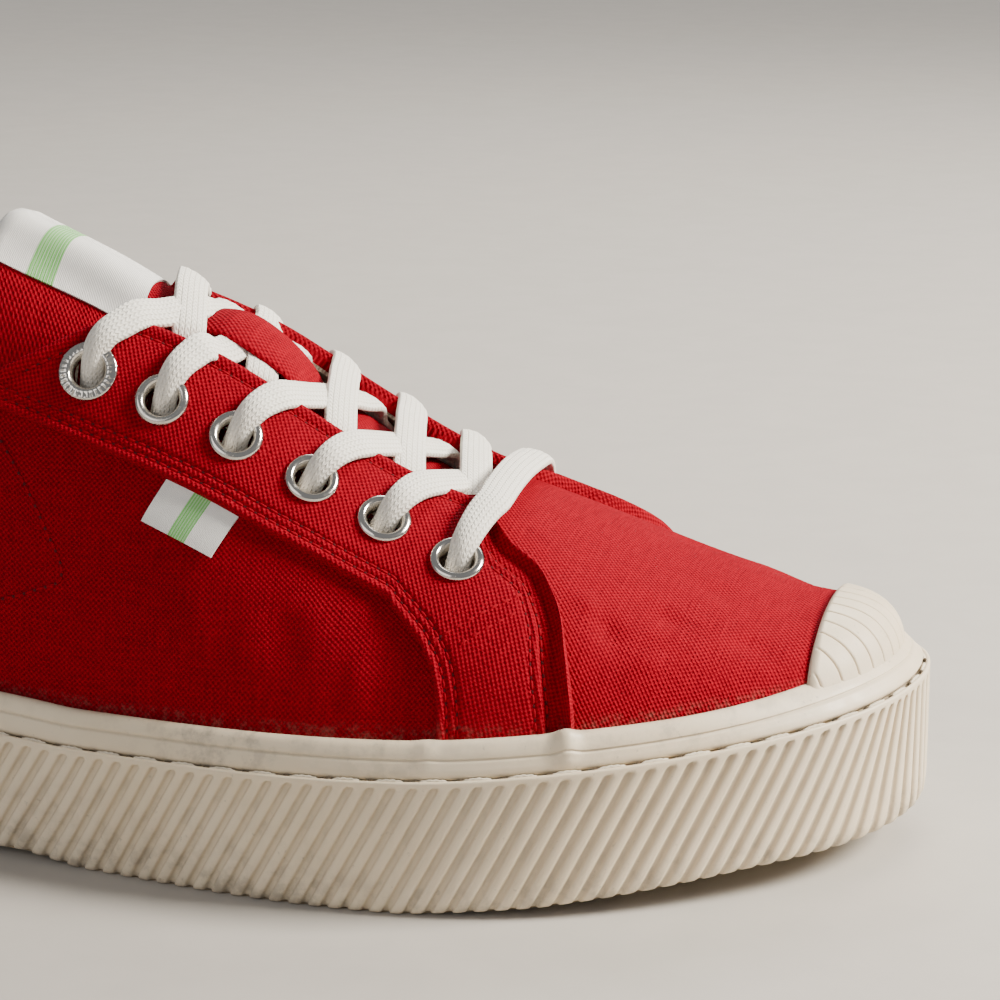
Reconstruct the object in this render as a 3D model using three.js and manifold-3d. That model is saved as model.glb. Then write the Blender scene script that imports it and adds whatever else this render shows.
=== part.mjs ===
// Low-top canvas sneaker for the right foot, standing empty on its cup sole.
// x runs from heel to toe, y from the outer (lateral) side to the inner (medial) side, z up.
import * as THREE from 'three';
import { mergeVertices } from 'three/addons/utils/BufferGeometryUtils.js';
import Module from 'manifold-3d';

const wasm = await Module();
wasm.setup();

// ---- Driving sizes, millimetres ----
const GAP = 0.3;
const WALL = 2.2;
const FEATHER_INSET = 6.3;
const FEATHER_DROP = 7;
const RIM_INSET = FEATHER_INSET - GAP;
const CUP_DEPTH = 9;
const FOXING_BASE_INSET = 1;
const FOXING_TOP_INSET = 3.4;
const FOXING_TOE_LEAN = 3.4;
const TOE_CAP_BACK = 282;
const TOE_CAP_THICKNESS = 1.8;
const FACING_THICKNESS = 1.1;
const TONGUE_THICKNESS = 4;
const INSOLE_THICKNESS = 4.5;
const LACE_WIDTH = 6.5;
const LACE_THICKNESS = 1.7;
const HEEL_POLE = 48;
const TOE_POLE = 232;
const AROUND = 72;
const RISE = 11;

// ---- Tables ----
const table = (columns, rows) => rows.map((row) => Object.fromEntries(columns.map((c, i) => [c, row[i]])));

// Control points of the sole's outline, a closed B-spline: toe tip, lateral side, heel, medial side.
const SOLE_OUTLINE = table(['x', 'y'], [
  [303, 8.5], [293.5, -19.5], [265, -41.5], [235, -56], [195, -58.5],
  [155, -50.5], [112, -43], [71, -41.8], [36, -41.5], [7, -26],
  [4, 0], [7, 26], [36, 41.5], [71, 39.5], [112, 35.5],
  [155, 39], [195, 50], [235, 54.5], [272, 47.5], [297, 32],
]);
const HALF = SOLE_OUTLINE.length / 2;

// Heights of the sole along the shoe.
const SOLE_HEIGHTS = table(['x', 'bottom', 'rim', 'foxing'], [
  [5, 2, 29.6, 38], [18, 0, 29.2, 37.4], [40, 0, 28.8, 36.6], [96, 0, 26.2, 33.5], [106, 1.6, 25.7, 32.9],
  [140, 1.6, 24, 30.6], [152, 0, 23.5, 29.9], [216, 0, 25.2, 31.6], [240, 1.8, 26.9, 33.2],
  [275, 5.8, 29.8, 35.6], [301, 7.2, 33, 38.6],
]);

// Sections of the last: height and side shift of the ridge, and the two powers of each section's curve.
const LAST_SECTIONS = table(['x', 'ridge', 'shift', 'spread', 'crown'], [
  [5, 150, 0, 2.2, 1.6], [48, 150, 0, 2.2, 1.6], [80, 143, -2, 2.2, 1.65],
  [110, 130, -4.2, 2.05, 1.73], [130, 120, -4.9, 2.05, 1.73], [150, 110.8, -5, 2.05, 1.73],
  [170, 98.5, -4.4, 2.05, 1.73], [190, 83.8, -3.1, 2.05, 1.73], [210, 71.4, -1.9, 2.05, 1.73],
  [230, 62.7, -0.6, 2.13, 2.27], [250, 54.7, 0.2, 2.23, 3], [265, 50.6, 0.9, 2.28, 3.35],
  [278, 48.7, 1.4, 2.28, 3.35], [290, 52.5, 1.5, 2.28, 3.35], [300, 58, 1.5, 2.28, 3.35],
]);

// Collar line in side view, from behind the heel to the top corner of the throat.
const COLLAR_LINE = table(['x', 'z'], [
  [-20, 79], [5, 78.5], [22, 75], [40, 69.5], [60, 66],
  [78, 66.5], [96, 71], [115, 79.5], [132, 89.5], [151, 99],
]);

// Half-width of the throat on each side of the ridge.
const THROAT = table(['x', 'half'], [[140, 18.5], [160, 16.2], [180, 15.2], [200, 15], [216, 14]]);
const THROAT_TIP = 226;

// Eyelet centres on the lateral side; the medial row mirrors them across the ridge.
const EYELETS = table(['x', 'across'], [
  [149.3, 24], [163.7, 24.8], [177.8, 25.6], [192.1, 26.3], [205.7, 26.8], [220.3, 29.6],
]);
const EYELET = { outer: 5.1, topOuter: 5.6, hole: 3.1, height: 1.3, facets: 10 };

// One lace strand from over its eyelet to under the far facing: step toward the toe, signed distance
// from the ridge (positive on its own side), and lift off the form.
const LACE_PATH = table(['step', 'across', 'lift'], [
  [1, 21, 5], [4, 17.2, 3.2], [7, 10, 2.7], [10, 0, 1.2], [12.3, -6.5, 0.2], [13.2, -9.6, -0.7],
]);
const UPPER_STRAND_LIFT = 1.1;
const BAR_PATH = table(['across', 'lift'], [
  [26, 5.3], [17, 5], [8, 4.9], [-0.5, 4.9], [-8, 4.9], [-17, 5], [-26, 5.3],
]);
const BAR_STEP = 1;

// Tongue half-widths, the lean of its top end, and the trim that lies on it.
const TONGUE_WIDTH = table(['x', 'half'], [[110, 33], [135, 32], [160, 28], [190, 24], [232, 19]]);
const TONGUE_TOP = table(['x', 'z'], [[117, 90], [240, 30], [240, 130], [127, 130]]);
const KEEPER_WIDTH = 12.5;
const KEEPER_PATH = table(['x', 'lift'], [
  [166.2, -1.6], [167.2, 1.6], [168.6, 4.6], [173.6, 5], [178.6, 4.6], [180, 1.6], [181, -1.6],
]);
const KEEPER_SHIFT = -1.5;
const KEEPER_THICKNESS = 1;
const TONGUE_LABEL = { from: 125, to: 152, low: -17, high: 8, thickness: 0.8 };
const SIDE_LABEL = table(['x', 'z'], [[162.5, 64.5], [176.9, 58.9], [180.5, 65], [166, 70.6]]);
const SIDE_LABEL_THICKNESS = 0.8;

// Lower edge of the facings in side view, ending in the leg that runs down to the sole.
const FACING_EDGE = table(['x', 'z'], [
  [132, 82.5], [153.6, 76], [180.9, 66], [198.7, 58],
  [208.4, 53.6], [212.8, 49.7], [218.7, 43.3], [221.3, 30],
]);
const FACING_FRONT = table(['x', 'z'], [
  [245, 30], [244, 40], [242.5, 45], [240, 50], [237.3, 53.4],
  [234, 56.5], [230.6, 58.6], [226.5, 62], [222, 80],
]);

// Cross grooves that part the heel and forefoot treads into lugs.
const GROOVES = [28, 42, 74, 88, 160, 172, 196, 208, 222, 236, 250, 264];
const GROOVE_WIDTH = 4;
const GROOVE_DEPTH = 2;

// ---- Curves ----
function spline(points, u, derivative = false) {
  const count = points.length;
  const first = Math.floor(u);
  const t = u - first;
  const weights = derivative
    ? [-((1 - t) ** 2) / 2, (9 * t * t - 12 * t) / 6, (-9 * t * t + 6 * t + 3) / 6, (t * t) / 2]
    : [(1 - t) ** 3 / 6, (3 * t ** 3 - 6 * t * t + 4) / 6,
      (-3 * t ** 3 + 3 * t * t + 3 * t + 1) / 6, t ** 3 / 6];
  const out = { x: 0, y: 0 };
  weights.forEach((w, k) => {
    const p = points[(first + k - 1 + 2 * count) % count];
    out.x += w * p.x;
    out.y += w * p.y;
  });
  return out;
}

function lookUp(rows, x, name) {
  const last = rows.length - 1;
  const at = Math.min(Math.max(x, rows[0].x), rows[last].x);
  let i = 0;
  while (i < last - 1 && rows[i + 1].x < at) i += 1;
  const slope = (k) => {
    const a = rows[Math.max(k - 1, 0)];
    const b = rows[Math.min(k + 1, last)];
    return (b[name] - a[name]) / (b.x - a.x);
  };
  const h = rows[i + 1].x - rows[i].x;
  const t = (at - rows[i].x) / h;
  return (2 * t ** 3 - 3 * t * t + 1) * rows[i][name] + (t ** 3 - 2 * t * t + t) * h * slope(i)
    + (3 * t * t - 2 * t ** 3) * rows[i + 1][name] + (t ** 3 - t * t) * h * slope(i + 1);
}

// Straight between rows, for the sole's flat spots.
function ramp(rows, x, name) {
  const last = rows.length - 1;
  const at = Math.min(Math.max(x, rows[0].x), rows[last].x);
  let i = 0;
  while (i < last - 1 && rows[i + 1].x < at) i += 1;
  return THREE.MathUtils.mapLinear(at, rows[i].x, rows[i + 1].x, rows[i][name], rows[i + 1][name]);
}

// Point of the sole's outline moved inwards; u runs 0..20 from the toe tip by the lateral side.
function outline(u, inset = 0) {
  const p = spline(SOLE_OUTLINE, u);
  const d = spline(SOLE_OUTLINE, u, true);
  const length = Math.hypot(d.x, d.y);
  return { x: p.x + (d.y / length) * inset, y: p.y - (d.x / length) * inset };
}

const stations = Array.from({ length: AROUND }, (_, i) => (i * 2 * HALF) / AROUND);
const soleBottom = (x) => ramp(SOLE_HEIGHTS, x, 'bottom');
const rimTop = (x) => lookUp(SOLE_HEIGHTS, x, 'rim');
const foxingTop = (x) => lookUp(SOLE_HEIGHTS, x, 'foxing');
const footbed = (x) => rimTop(x) - CUP_DEPTH;

// ---- Closed solids ----
function solid(vertices, triangles) {
  const mesh = new wasm.Mesh({
    numProp: 3,
    vertProperties: new Float32Array(vertices.flat()),
    triVerts: new Uint32Array(triangles.flat()),
  });
  return new wasm.Manifold(mesh);
}

// Rings of equal count joined in order, closed at both ends by strips from side to side.
function ringSolid(rings) {
  const count = rings[0].length;
  const half = count / 2;
  const triangles = [];
  for (let r = 0; r < rings.length - 1; r += 1) {
    for (let k = 0; k < count; k += 1) {
      const n = (k + 1) % count;
      const a = r * count;
      const b = a + count;
      triangles.push([a + k, b + k, a + n], [a + n, b + k, b + n]);
    }
  }
  const cap = (base, flip) => {
    const face = (i, j, k) => {
      triangles.push(flip ? [base + i, base + k, base + j] : [base + i, base + j, base + k]);
    };
    face(0, 1, count - 1);
    for (let k = 1; k < half - 1; k += 1) {
      face(k, k + 1, count - k);
      face(k + 1, count - k - 1, count - k);
    }
    face(half - 1, half, half + 1);
  };
  cap(0, false);
  cap((rings.length - 1) * count, true);
  return solid(rings.flat(), triangles);
}

// A band round the shoe: rings of one cross-section, joined back to the first ring.
function bandSolid(rings) {
  const count = rings[0].length;
  const triangles = [];
  rings.forEach((_, r) => {
    const a = r * count;
    const b = ((r + 1) % rings.length) * count;
    for (let k = 0; k < count; k += 1) {
      const n = (k + 1) % count;
      triangles.push([a + k, b + k, a + n], [a + n, b + k, b + n]);
    }
  });
  return solid(rings.flat(), triangles);
}

function fromGeometry(geometry) {
  const bare = geometry.clone();
  bare.deleteAttribute('normal');
  bare.deleteAttribute('uv');
  const merged = mergeVertices(bare, 1e-4);
  return new wasm.Manifold(new wasm.Mesh({
    numProp: 3,
    vertProperties: new Float32Array(merged.attributes.position.array),
    triVerts: new Uint32Array(merged.index.array),
  }));
}

// Upright prism over a plan outline, or a prism across the shoe over a side-view outline.
function planPrism(points, low, high) {
  const shape = new THREE.Shape(points.map((p) => new THREE.Vector2(p.x, p.y)));
  const geometry = new THREE.ExtrudeGeometry(shape, { depth: high - low, bevelEnabled: false });
  geometry.translate(0, 0, low);
  return fromGeometry(geometry);
}

function sidePrism(points, from, to) {
  const shape = new THREE.Shape(points.map((p) => new THREE.Vector2(p.x, p.z)));
  const geometry = new THREE.ExtrudeGeometry(shape, { depth: to - from, bevelEnabled: false });
  geometry.rotateX(Math.PI / 2);
  geometry.translate(0, to, 0);
  return fromGeometry(geometry);
}

// ---- The last's own form ----
const mirrored = (u) => (2 * HALF - u) % (2 * HALF);

function ridgePoint(u) {
  const a = outline(u, FEATHER_INSET);
  const b = outline(mirrored(u), FEATHER_INSET);
  const x = THREE.MathUtils.clamp((a.x + b.x) / 2, HEEL_POLE, TOE_POLE);
  return { x, y: lookUp(LAST_SECTIONS, x, 'shift') };
}

// Point of the form at station u and rise angle 0 (feather) to 90 degrees (ridge).
function formPoint(u, angle) {
  const foot = outline(u, FEATHER_INSET);
  const top = ridgePoint(u);
  const reach = Math.cos(angle);
  const x = top.x + reach * (foot.x - top.x);
  const y = top.y + reach * (foot.y - top.y);
  const low = foxingTop(foot.x) - FEATHER_DROP;
  const spread = lookUp(LAST_SECTIONS, x, 'spread');
  const crown = lookUp(LAST_SECTIONS, x, 'crown');
  const rise = Math.max(1 - reach ** spread, 0) ** (1 / crown);
  return new THREE.Vector3(x, y, low + (lookUp(LAST_SECTIONS, x, 'ridge') - low) * rise);
}

function formNormal(u, angle) {
  const step = 0.02;
  const a = THREE.MathUtils.clamp(angle, 0.06, Math.PI / 2 - 0.06);
  const along = formPoint(u + step, a).sub(formPoint(u - step + 2 * HALF, a));
  const up = formPoint(u, a + step).sub(formPoint(u, a - step));
  const normal = new THREE.Vector3().crossVectors(up, along).normalize();
  return angle < 0.05 ? normal.setZ(0).normalize() : normal;
}

// Point on the form moved outwards by an offset.
function formOffset(u, angle, offset) {
  return formPoint(u, angle).addScaledVector(formNormal(u, angle), offset);
}

// The whole form, closed, grown by an offset, with straight sides below the feather down to a floor.
function formSolid(offset, floor) {
  const vertices = [];
  const rings = [];
  const add = (p) => vertices.push([p.x, p.y, p.z]) - 1;
  const feather = stations.map((u) => formOffset(u, 0, offset));
  rings.push(feather.map((p) => add({ x: p.x, y: p.y, z: floor(p.x) })));
  for (let r = 0; r < RISE; r += 1) {
    const angle = (Math.PI / 2) * (r / RISE) ** 1.15;
    rings.push(stations.map((u) => add(formOffset(u, angle, offset))));
  }
  const ridge = [];
  for (let k = 0; k <= AROUND / 2; k += 1) {
    const u = stations[k];
    const p = formPoint(u, Math.PI / 2);
    const same = k > 0 && Math.abs(ridgePoint(u).x - ridgePoint(stations[k - 1]).x) < 1e-6;
    const slope = (lookUp(LAST_SECTIONS, p.x + 1, 'ridge') - lookUp(LAST_SECTIONS, p.x - 1, 'ridge')) / 2;
    const lift = offset / Math.hypot(1, slope);
    ridge[k] = same ? ridge[k - 1] : add({ x: p.x - slope * lift, y: p.y, z: p.z + lift });
  }
  rings.push(stations.map((_, k) => ridge[k <= AROUND / 2 ? k : AROUND - k]));
  const triangles = [];
  const face = (a, b, c) => {
    if (a !== b && b !== c && c !== a) triangles.push([a, b, c]);
  };
  for (let r = 0; r < rings.length - 1; r += 1) {
    for (let k = 0; k < AROUND; k += 1) {
      const n = (k + 1) % AROUND;
      face(rings[r][k], rings[r + 1][k], rings[r][n]);
      face(rings[r][n], rings[r + 1][k], rings[r + 1][n]);
    }
  }
  const base = rings[0];
  face(base[0], base[1], base[AROUND - 1]);
  for (let k = 1; k < AROUND / 2 - 1; k += 1) {
    face(base[k], base[k + 1], base[AROUND - k]);
    face(base[k + 1], base[AROUND - k - 1], base[AROUND - k]);
  }
  face(base[AROUND / 2 - 1], base[AROUND / 2], base[AROUND / 2 + 1]);
  return solid(vertices, triangles);
}

const belowSole = () => -10;
const onFootbed = (x) => footbed(x) + GAP;

// ---- Regions ----
function throatRegion() {
  const tip = THROAT[THROAT.length - 1];
  const left = THROAT.map(({ x, half }) => ({ x, y: lookUp(LAST_SECTIONS, x, 'shift') - half }));
  const right = THROAT.map(({ x, half }) => ({ x, y: lookUp(LAST_SECTIONS, x, 'shift') + half })).reverse();
  const front = [];
  for (let i = 1; i < 8; i += 1) {
    const a = -Math.PI / 2 + (i * Math.PI) / 8;
    const x = tip.x + (THROAT_TIP - tip.x) * Math.cos(a);
    front.push({ x, y: lookUp(LAST_SECTIONS, x, 'shift') + tip.half * Math.sin(a) });
  }
  return planPrism([...left, ...front, ...right], 40, 200);
}

function collarRegion() {
  return sidePrism([...COLLAR_LINE, { x: 151, z: 220 }, { x: -20, z: 220 }], -90, 90);
}

// ---- Pieces ----
const upperForm = formSolid(0, onFootbed);
const liningForm = formSolid(-WALL, belowSole);
const opening = throatRegion().add(collarRegion());
const clearUpper = formSolid(GAP, belowSole);

function outsole() {
  const ring = (inset, height) => stations.map((u) => {
    const p = outline(u, inset);
    return [p.x, p.y, height(p.x)];
  });
  const body = ringSolid([
    ring(4.5, soleBottom),
    ring(1.8, (x) => soleBottom(x) + 1.6),
    ring(0.4, (x) => soleBottom(x) + 5),
    ring(0, (x) => THREE.MathUtils.lerp(soleBottom(x), rimTop(x), 0.55)),
    ring(0, (x) => rimTop(x)),
  ]);
  const cup = ringSolid([ring(RIM_INSET, footbed), ring(RIM_INSET, (x) => rimTop(x) + 5)]);
  const grooves = GROOVES.map((x) => {
    const low = { x: x - GROOVE_WIDTH / 2, z: -5 };
    const high = { x: x + GROOVE_WIDTH / 2, z: soleBottom(x) + GROOVE_DEPTH };
    return sidePrism([low, { x: high.x, z: low.z }, high, { x: low.x, z: high.z }], -90, 90);
  });
  return grooves.reduce((made, groove) => made.subtract(groove), body.subtract(cup));
}

function foxing() {
  const lean = (x) => FOXING_TOP_INSET + FOXING_TOE_LEAN * THREE.MathUtils.smoothstep(x, 262, 300);
  const inner = 16;
  const band = bandSolid(stations.map((u) => {
    const at = (inset, height) => {
      const p = outline(u, inset);
      return [p.x, p.y, height(p.x)];
    };
    const edge = outline(u).x;
    return [
      at(FOXING_BASE_INSET, (x) => rimTop(x) + GAP),
      at(inner, (x) => rimTop(x) + GAP),
      at(inner, foxingTop),
      at(lean(edge), foxingTop),
      at(THREE.MathUtils.lerp(FOXING_BASE_INSET, lean(edge), 0.4), (x) => foxingTop(x) - 2),
    ];
  }));
  return band.subtract(clearUpper);
}

function overFoxing(region) {
  const lift = stations.map((u) => outline(u, -12));
  const low = lift.map((p) => [p.x, p.y, foxingTop(Math.min(p.x, 301)) + GAP]);
  const high = lift.map((p) => [p.x, p.y, 220]);
  return region.intersect(ringSolid([low, high]));
}

function toeCap() {
  const shell = formSolid(TOE_CAP_THICKNESS, belowSole).subtract(clearUpper);
  const front = planPrism([
    { x: TOE_CAP_BACK, y: -70 }, { x: 330, y: -70 }, { x: 330, y: 70 }, { x: TOE_CAP_BACK, y: 70 },
  ], -20, 200);
  return overFoxing(shell.intersect(front));
}

function facing(side) {
  const shell = formSolid(FACING_THICKNESS + GAP, belowSole).subtract(clearUpper);
  const span = side < 0 ? [-90, -1] : [-1, 90];
  const region = sidePrism([...FACING_EDGE, ...FACING_FRONT, { x: 132, z: 160 }], span[0], span[1]);
  return overFoxing(shell.intersect(region).subtract(opening));
}

function tongue() {
  const outer = -(WALL + 2 * GAP);
  const sheet = formSolid(outer, belowSole).subtract(formSolid(outer - TONGUE_THICKNESS, belowSole));
  const shift = (x) => lookUp(LAST_SECTIONS, x, 'shift');
  const edge = (side) => TONGUE_WIDTH.map(({ x, half }) => ({ x, y: shift(x) + side * half }));
  const plan = planPrism([...edge(-1), ...edge(1).reverse()], 20, 220);
  return sheet.intersect(plan).intersect(sidePrism(TONGUE_TOP, -90, 90));
}

function insole() {
  const inset = FEATHER_INSET + WALL + 2 * GAP;
  const ring = (lift) => stations.map((u) => {
    const p = outline(u, inset);
    return [p.x, p.y, footbed(p.x) + lift];
  });
  return ringSolid([ring(GAP), ring(GAP + INSOLE_THICKNESS)]);
}

// Station and rise angle of the form's point over a plan place given by x and the distance from the ridge.
function findOnForm(x, across, side) {
  let u = side < 0 ? 4 : 16;
  for (let i = 0; i < 30; i += 1) {
    const error = ridgePoint(u).x - x;
    u += (side < 0 ? 1 : -1) * error * 0.02;
  }
  const foot = outline(u, FEATHER_INSET);
  const top = ridgePoint(u);
  const reach = across / Math.hypot(foot.x - top.x, foot.y - top.y);
  return { u, angle: Math.acos(Math.min(reach, 1)) };
}

// Point off the form with the form's own normal, as lace paths use it.
function pathPoint(x, across, lift) {
  const { u, angle } = findOnForm(x, Math.abs(across), across < 0 ? -1 : 1);
  return { at: formOffset(u, angle, lift), up: formNormal(u, angle) };
}

function eyelet(spot, side, top) {
  const outer = top ? EYELET.topOuter : EYELET.outer;
  const { hole, height } = EYELET;
  const profile = [
    [hole, 0], [outer - 0.6, 0], [outer, 0.4], [outer - 0.5, height - 0.1],
    [hole + 0.8, height], [hole, 0.6], [hole, 0],
  ].map(([r, z]) => new THREE.Vector2(r, z));
  const geometry = new THREE.LatheGeometry(profile, EYELET.facets);
  geometry.rotateX(Math.PI / 2);
  const { u, angle } = findOnForm(spot.x, spot.across, side);
  const turn = new THREE.Quaternion().setFromUnitVectors(new THREE.Vector3(0, 0, 1), formNormal(u, angle));
  geometry.applyQuaternion(turn);
  const seat = formOffset(u, angle, FACING_THICKNESS + 3 * GAP);
  geometry.translate(seat.x, seat.y, seat.z);
  return fromGeometry(geometry);
}

// Flat strip through points, each with the direction of its width.
function strip(points, width, thickness) {
  const count = points.length;
  const vertices = [];
  points.forEach((p, i) => {
    const before = points[Math.max(i - 1, 0)].at;
    const after = points[Math.min(i + 1, count - 1)].at;
    const along = after.clone().sub(before).normalize();
    const flat = new THREE.Vector3().crossVectors(p.up, along).normalize();
    const up = new THREE.Vector3().crossVectors(along, flat).normalize();
    [[-1, -1], [1, -1], [1, 1], [-1, 1]].forEach(([a, b]) => {
      const q = p.at.clone().addScaledVector(flat, (a * width) / 2).addScaledVector(up, (b * thickness) / 2);
      vertices.push([q.x, q.y, q.z]);
    });
  });
  const triangles = [[0, 2, 1], [0, 3, 2]];
  for (let i = 0; i < count - 1; i += 1) {
    for (let k = 0; k < 4; k += 1) {
      const a = i * 4 + k;
      const b = i * 4 + ((k + 1) % 4);
      triangles.push([a, b, a + 4], [b, b + 4, a + 4]);
    }
  }
  const end = (count - 1) * 4;
  triangles.push([end, end + 1, end + 2], [end, end + 2, end + 3]);
  const made = solid(vertices, triangles);
  return made.volume() < 0 ? solid(vertices, triangles.map(([a, b, c]) => [a, c, b])) : made;
}

// One strand of a crossing, starting on the given side.
function laceStrand(index, side, raise) {
  const { x } = EYELETS[index];
  return strip(LACE_PATH.map(({ step, across, lift }, i) => {
    const over = i < 1 || i > LACE_PATH.length - 2 ? 0 : raise;
    return pathPoint(x + step, side * across, lift + over);
  }), LACE_WIDTH, LACE_THICKNESS);
}

function crossing(index) {
  return laceStrand(index, -1, 0).add(laceStrand(index, 1, UPPER_STRAND_LIFT));
}

function laceBar() {
  const { x } = EYELETS[EYELETS.length - 1];
  const path = BAR_PATH.map(({ across, lift }) => pathPoint(x + BAR_STEP, across, lift));
  return strip(path, LACE_WIDTH, LACE_THICKNESS);
}

// Patch lying off the form over a region.
function patch(inner, thickness, region) {
  const shell = formSolid(inner + thickness, belowSole).subtract(formSolid(inner, belowSole));
  return shell.intersect(region);
}

// Strap along the tongue that bridges the second crossing.
function laceKeeper() {
  const path = KEEPER_PATH.map(({ x, lift }) => pathPoint(x, KEEPER_SHIFT, lift));
  return strip(path, KEEPER_WIDTH, KEEPER_THICKNESS);
}

function tongueLabel() {
  const { from, to, low, high, thickness } = TONGUE_LABEL;
  const corners = [{ x: from, y: low }, { x: to, y: low }, { x: to, y: high }, { x: from, y: high }];
  const plan = planPrism(corners, 60, 140);
  return patch(-(WALL + GAP), thickness, plan);
}

function sideLabel() {
  return patch(FACING_THICKNESS + 2 * GAP, SIDE_LABEL_THICKNESS, sidePrism(SIDE_LABEL, -90, 0));
}

// ---- Scene graph ----
const canvasRed = { color: 0xb01018, roughness: 0.9, metalness: 0 };
const rubberCream = { color: 0xe6dfcc, roughness: 0.6, metalness: 0 };
const nickel = { color: 0xb8b4ac, roughness: 0.25, metalness: 1 };
const cottonWhite = { color: 0xefece2, roughness: 0.9, metalness: 0 };

const shoe = new THREE.Group();
const middle = (() => {
  const points = stations.map((u) => outline(u));
  const mid = (values) => (Math.min(...values) + Math.max(...values)) / 2;
  return { x: mid(points.map((p) => p.x)), y: mid(points.map((p) => p.y)) };
})();

function place(name, made, finish) {
  const { vertProperties, triVerts, numProp } = made.getMesh();
  const positions = [];
  for (let i = 0; i < vertProperties.length; i += numProp) {
    positions.push(vertProperties[i], vertProperties[i + 1], vertProperties[i + 2]);
  }
  const geometry = new THREE.BufferGeometry();
  geometry.setAttribute('position', new THREE.Float32BufferAttribute(positions, 3));
  geometry.setIndex([...triVerts]);
  const mesh = new THREE.Mesh(geometry, new THREE.MeshStandardMaterial(finish));
  mesh.name = name;
  mesh.position.set(-middle.x, -middle.y, 0);
  shoe.add(mesh);
}

place('outsole', outsole(), rubberCream);
place('foxing', foxing(), rubberCream);
place('toe_cap', toeCap(), rubberCream);
place('upper', upperForm.subtract(liningForm).subtract(opening), canvasRed);
place('tongue', tongue(), canvasRed);
place('insole', insole(), cottonWhite);
place('facing_lateral', facing(-1), canvasRed);
place('facing_medial', facing(1), canvasRed);
EYELETS.forEach((spot, i) => {
  place(`eyelet_lateral_${i + 1}`, eyelet(spot, -1, i === 0), nickel);
  place(`eyelet_medial_${i + 1}`, eyelet(spot, 1, i === 0), nickel);
  if (i < EYELETS.length - 1) place(`lace_crossing_${i + 1}`, crossing(i), cottonWhite);
});
place('lace_bar', laceBar(), cottonWhite);
place('lace_keeper', laceKeeper(), canvasRed);
place('tongue_label', tongueLabel(), cottonWhite);
place('side_label', sideLabel(), cottonWhite);

export default shoe;
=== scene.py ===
"""Low-top canvas sneaker for the right foot: looks, stage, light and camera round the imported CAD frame."""

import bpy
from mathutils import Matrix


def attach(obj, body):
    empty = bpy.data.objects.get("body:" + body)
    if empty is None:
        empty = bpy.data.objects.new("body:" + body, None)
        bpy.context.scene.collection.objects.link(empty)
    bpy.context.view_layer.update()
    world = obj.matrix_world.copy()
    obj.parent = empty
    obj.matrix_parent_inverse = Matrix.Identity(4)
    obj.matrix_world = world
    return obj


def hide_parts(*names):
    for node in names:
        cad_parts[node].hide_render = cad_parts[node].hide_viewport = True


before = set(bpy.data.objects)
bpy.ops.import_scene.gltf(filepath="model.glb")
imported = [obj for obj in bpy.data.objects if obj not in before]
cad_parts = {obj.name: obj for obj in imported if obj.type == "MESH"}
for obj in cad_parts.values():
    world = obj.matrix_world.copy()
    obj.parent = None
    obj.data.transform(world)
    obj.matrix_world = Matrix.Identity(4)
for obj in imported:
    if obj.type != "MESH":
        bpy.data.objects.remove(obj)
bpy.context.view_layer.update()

import math

import bmesh
import bpy
import numpy as np
from bpy.props import FloatProperty, FloatVectorProperty, IntProperty, PointerProperty
from mathutils import Matrix, Vector

bl_info = {
    "name": "Canvas sneaker",
    "version": (1, 0, 0),
    "blender": (4, 5, 0),
    "location": "3D View > Sidebar > Sneaker",
    "description": "Builds a laced canvas sneaker piece by piece round its CAD frame",
    "category": "Object",
}

# ---- The shoe's own sizes, in millimetres: x from heel to toe, y from lateral to medial ----
MM = 0.001
TURN = 2 * math.pi
TOP = math.pi / 2
# Stations round the sole's outline, from the toe over the lateral side to the heel and back.
ROUND = 20
# The last's foot line: how far inside the sole's outline it runs, and how far below the foxing's top.
FEATHER = 6.3
FEATHER_DROP = 7.0
# Ends of the ridge, where the last's sections close round heel and toe.
HEEL_POLE = 48.0
TOE_POLE = 232.0
# Depth of the cup's floor below its rim, and the footbed's thickness over it.
CUP_DEPTH = 9.0
INSOLE = 4.5
CAP_BACK = 282.0
THROAT_TIP = 221.5
THROAT_ROUND = 211.0
THROAT_BACK = 150.9
COLLAR_FRONT = 151.0
# Stations of the hidden join between vamp and quarters, at the sole and at the ridge.
SPLIT_LOW = 3.0
SPLIT_HIGH = 4.1
# Wall of the canvas, faces of the lining below it, and how far a panel goes down inside the sole.
CANVAS_WALL = 1.0
LINING_FACES = (-1.1, -2.2)
SKIRT = 5.0
EYELET_HOLE = 4.2
FACING_HOLE = 4.1


def table(columns, rows):
    """Named columns of numbers."""
    return dict(zip(columns, np.array(rows, float).T))


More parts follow.
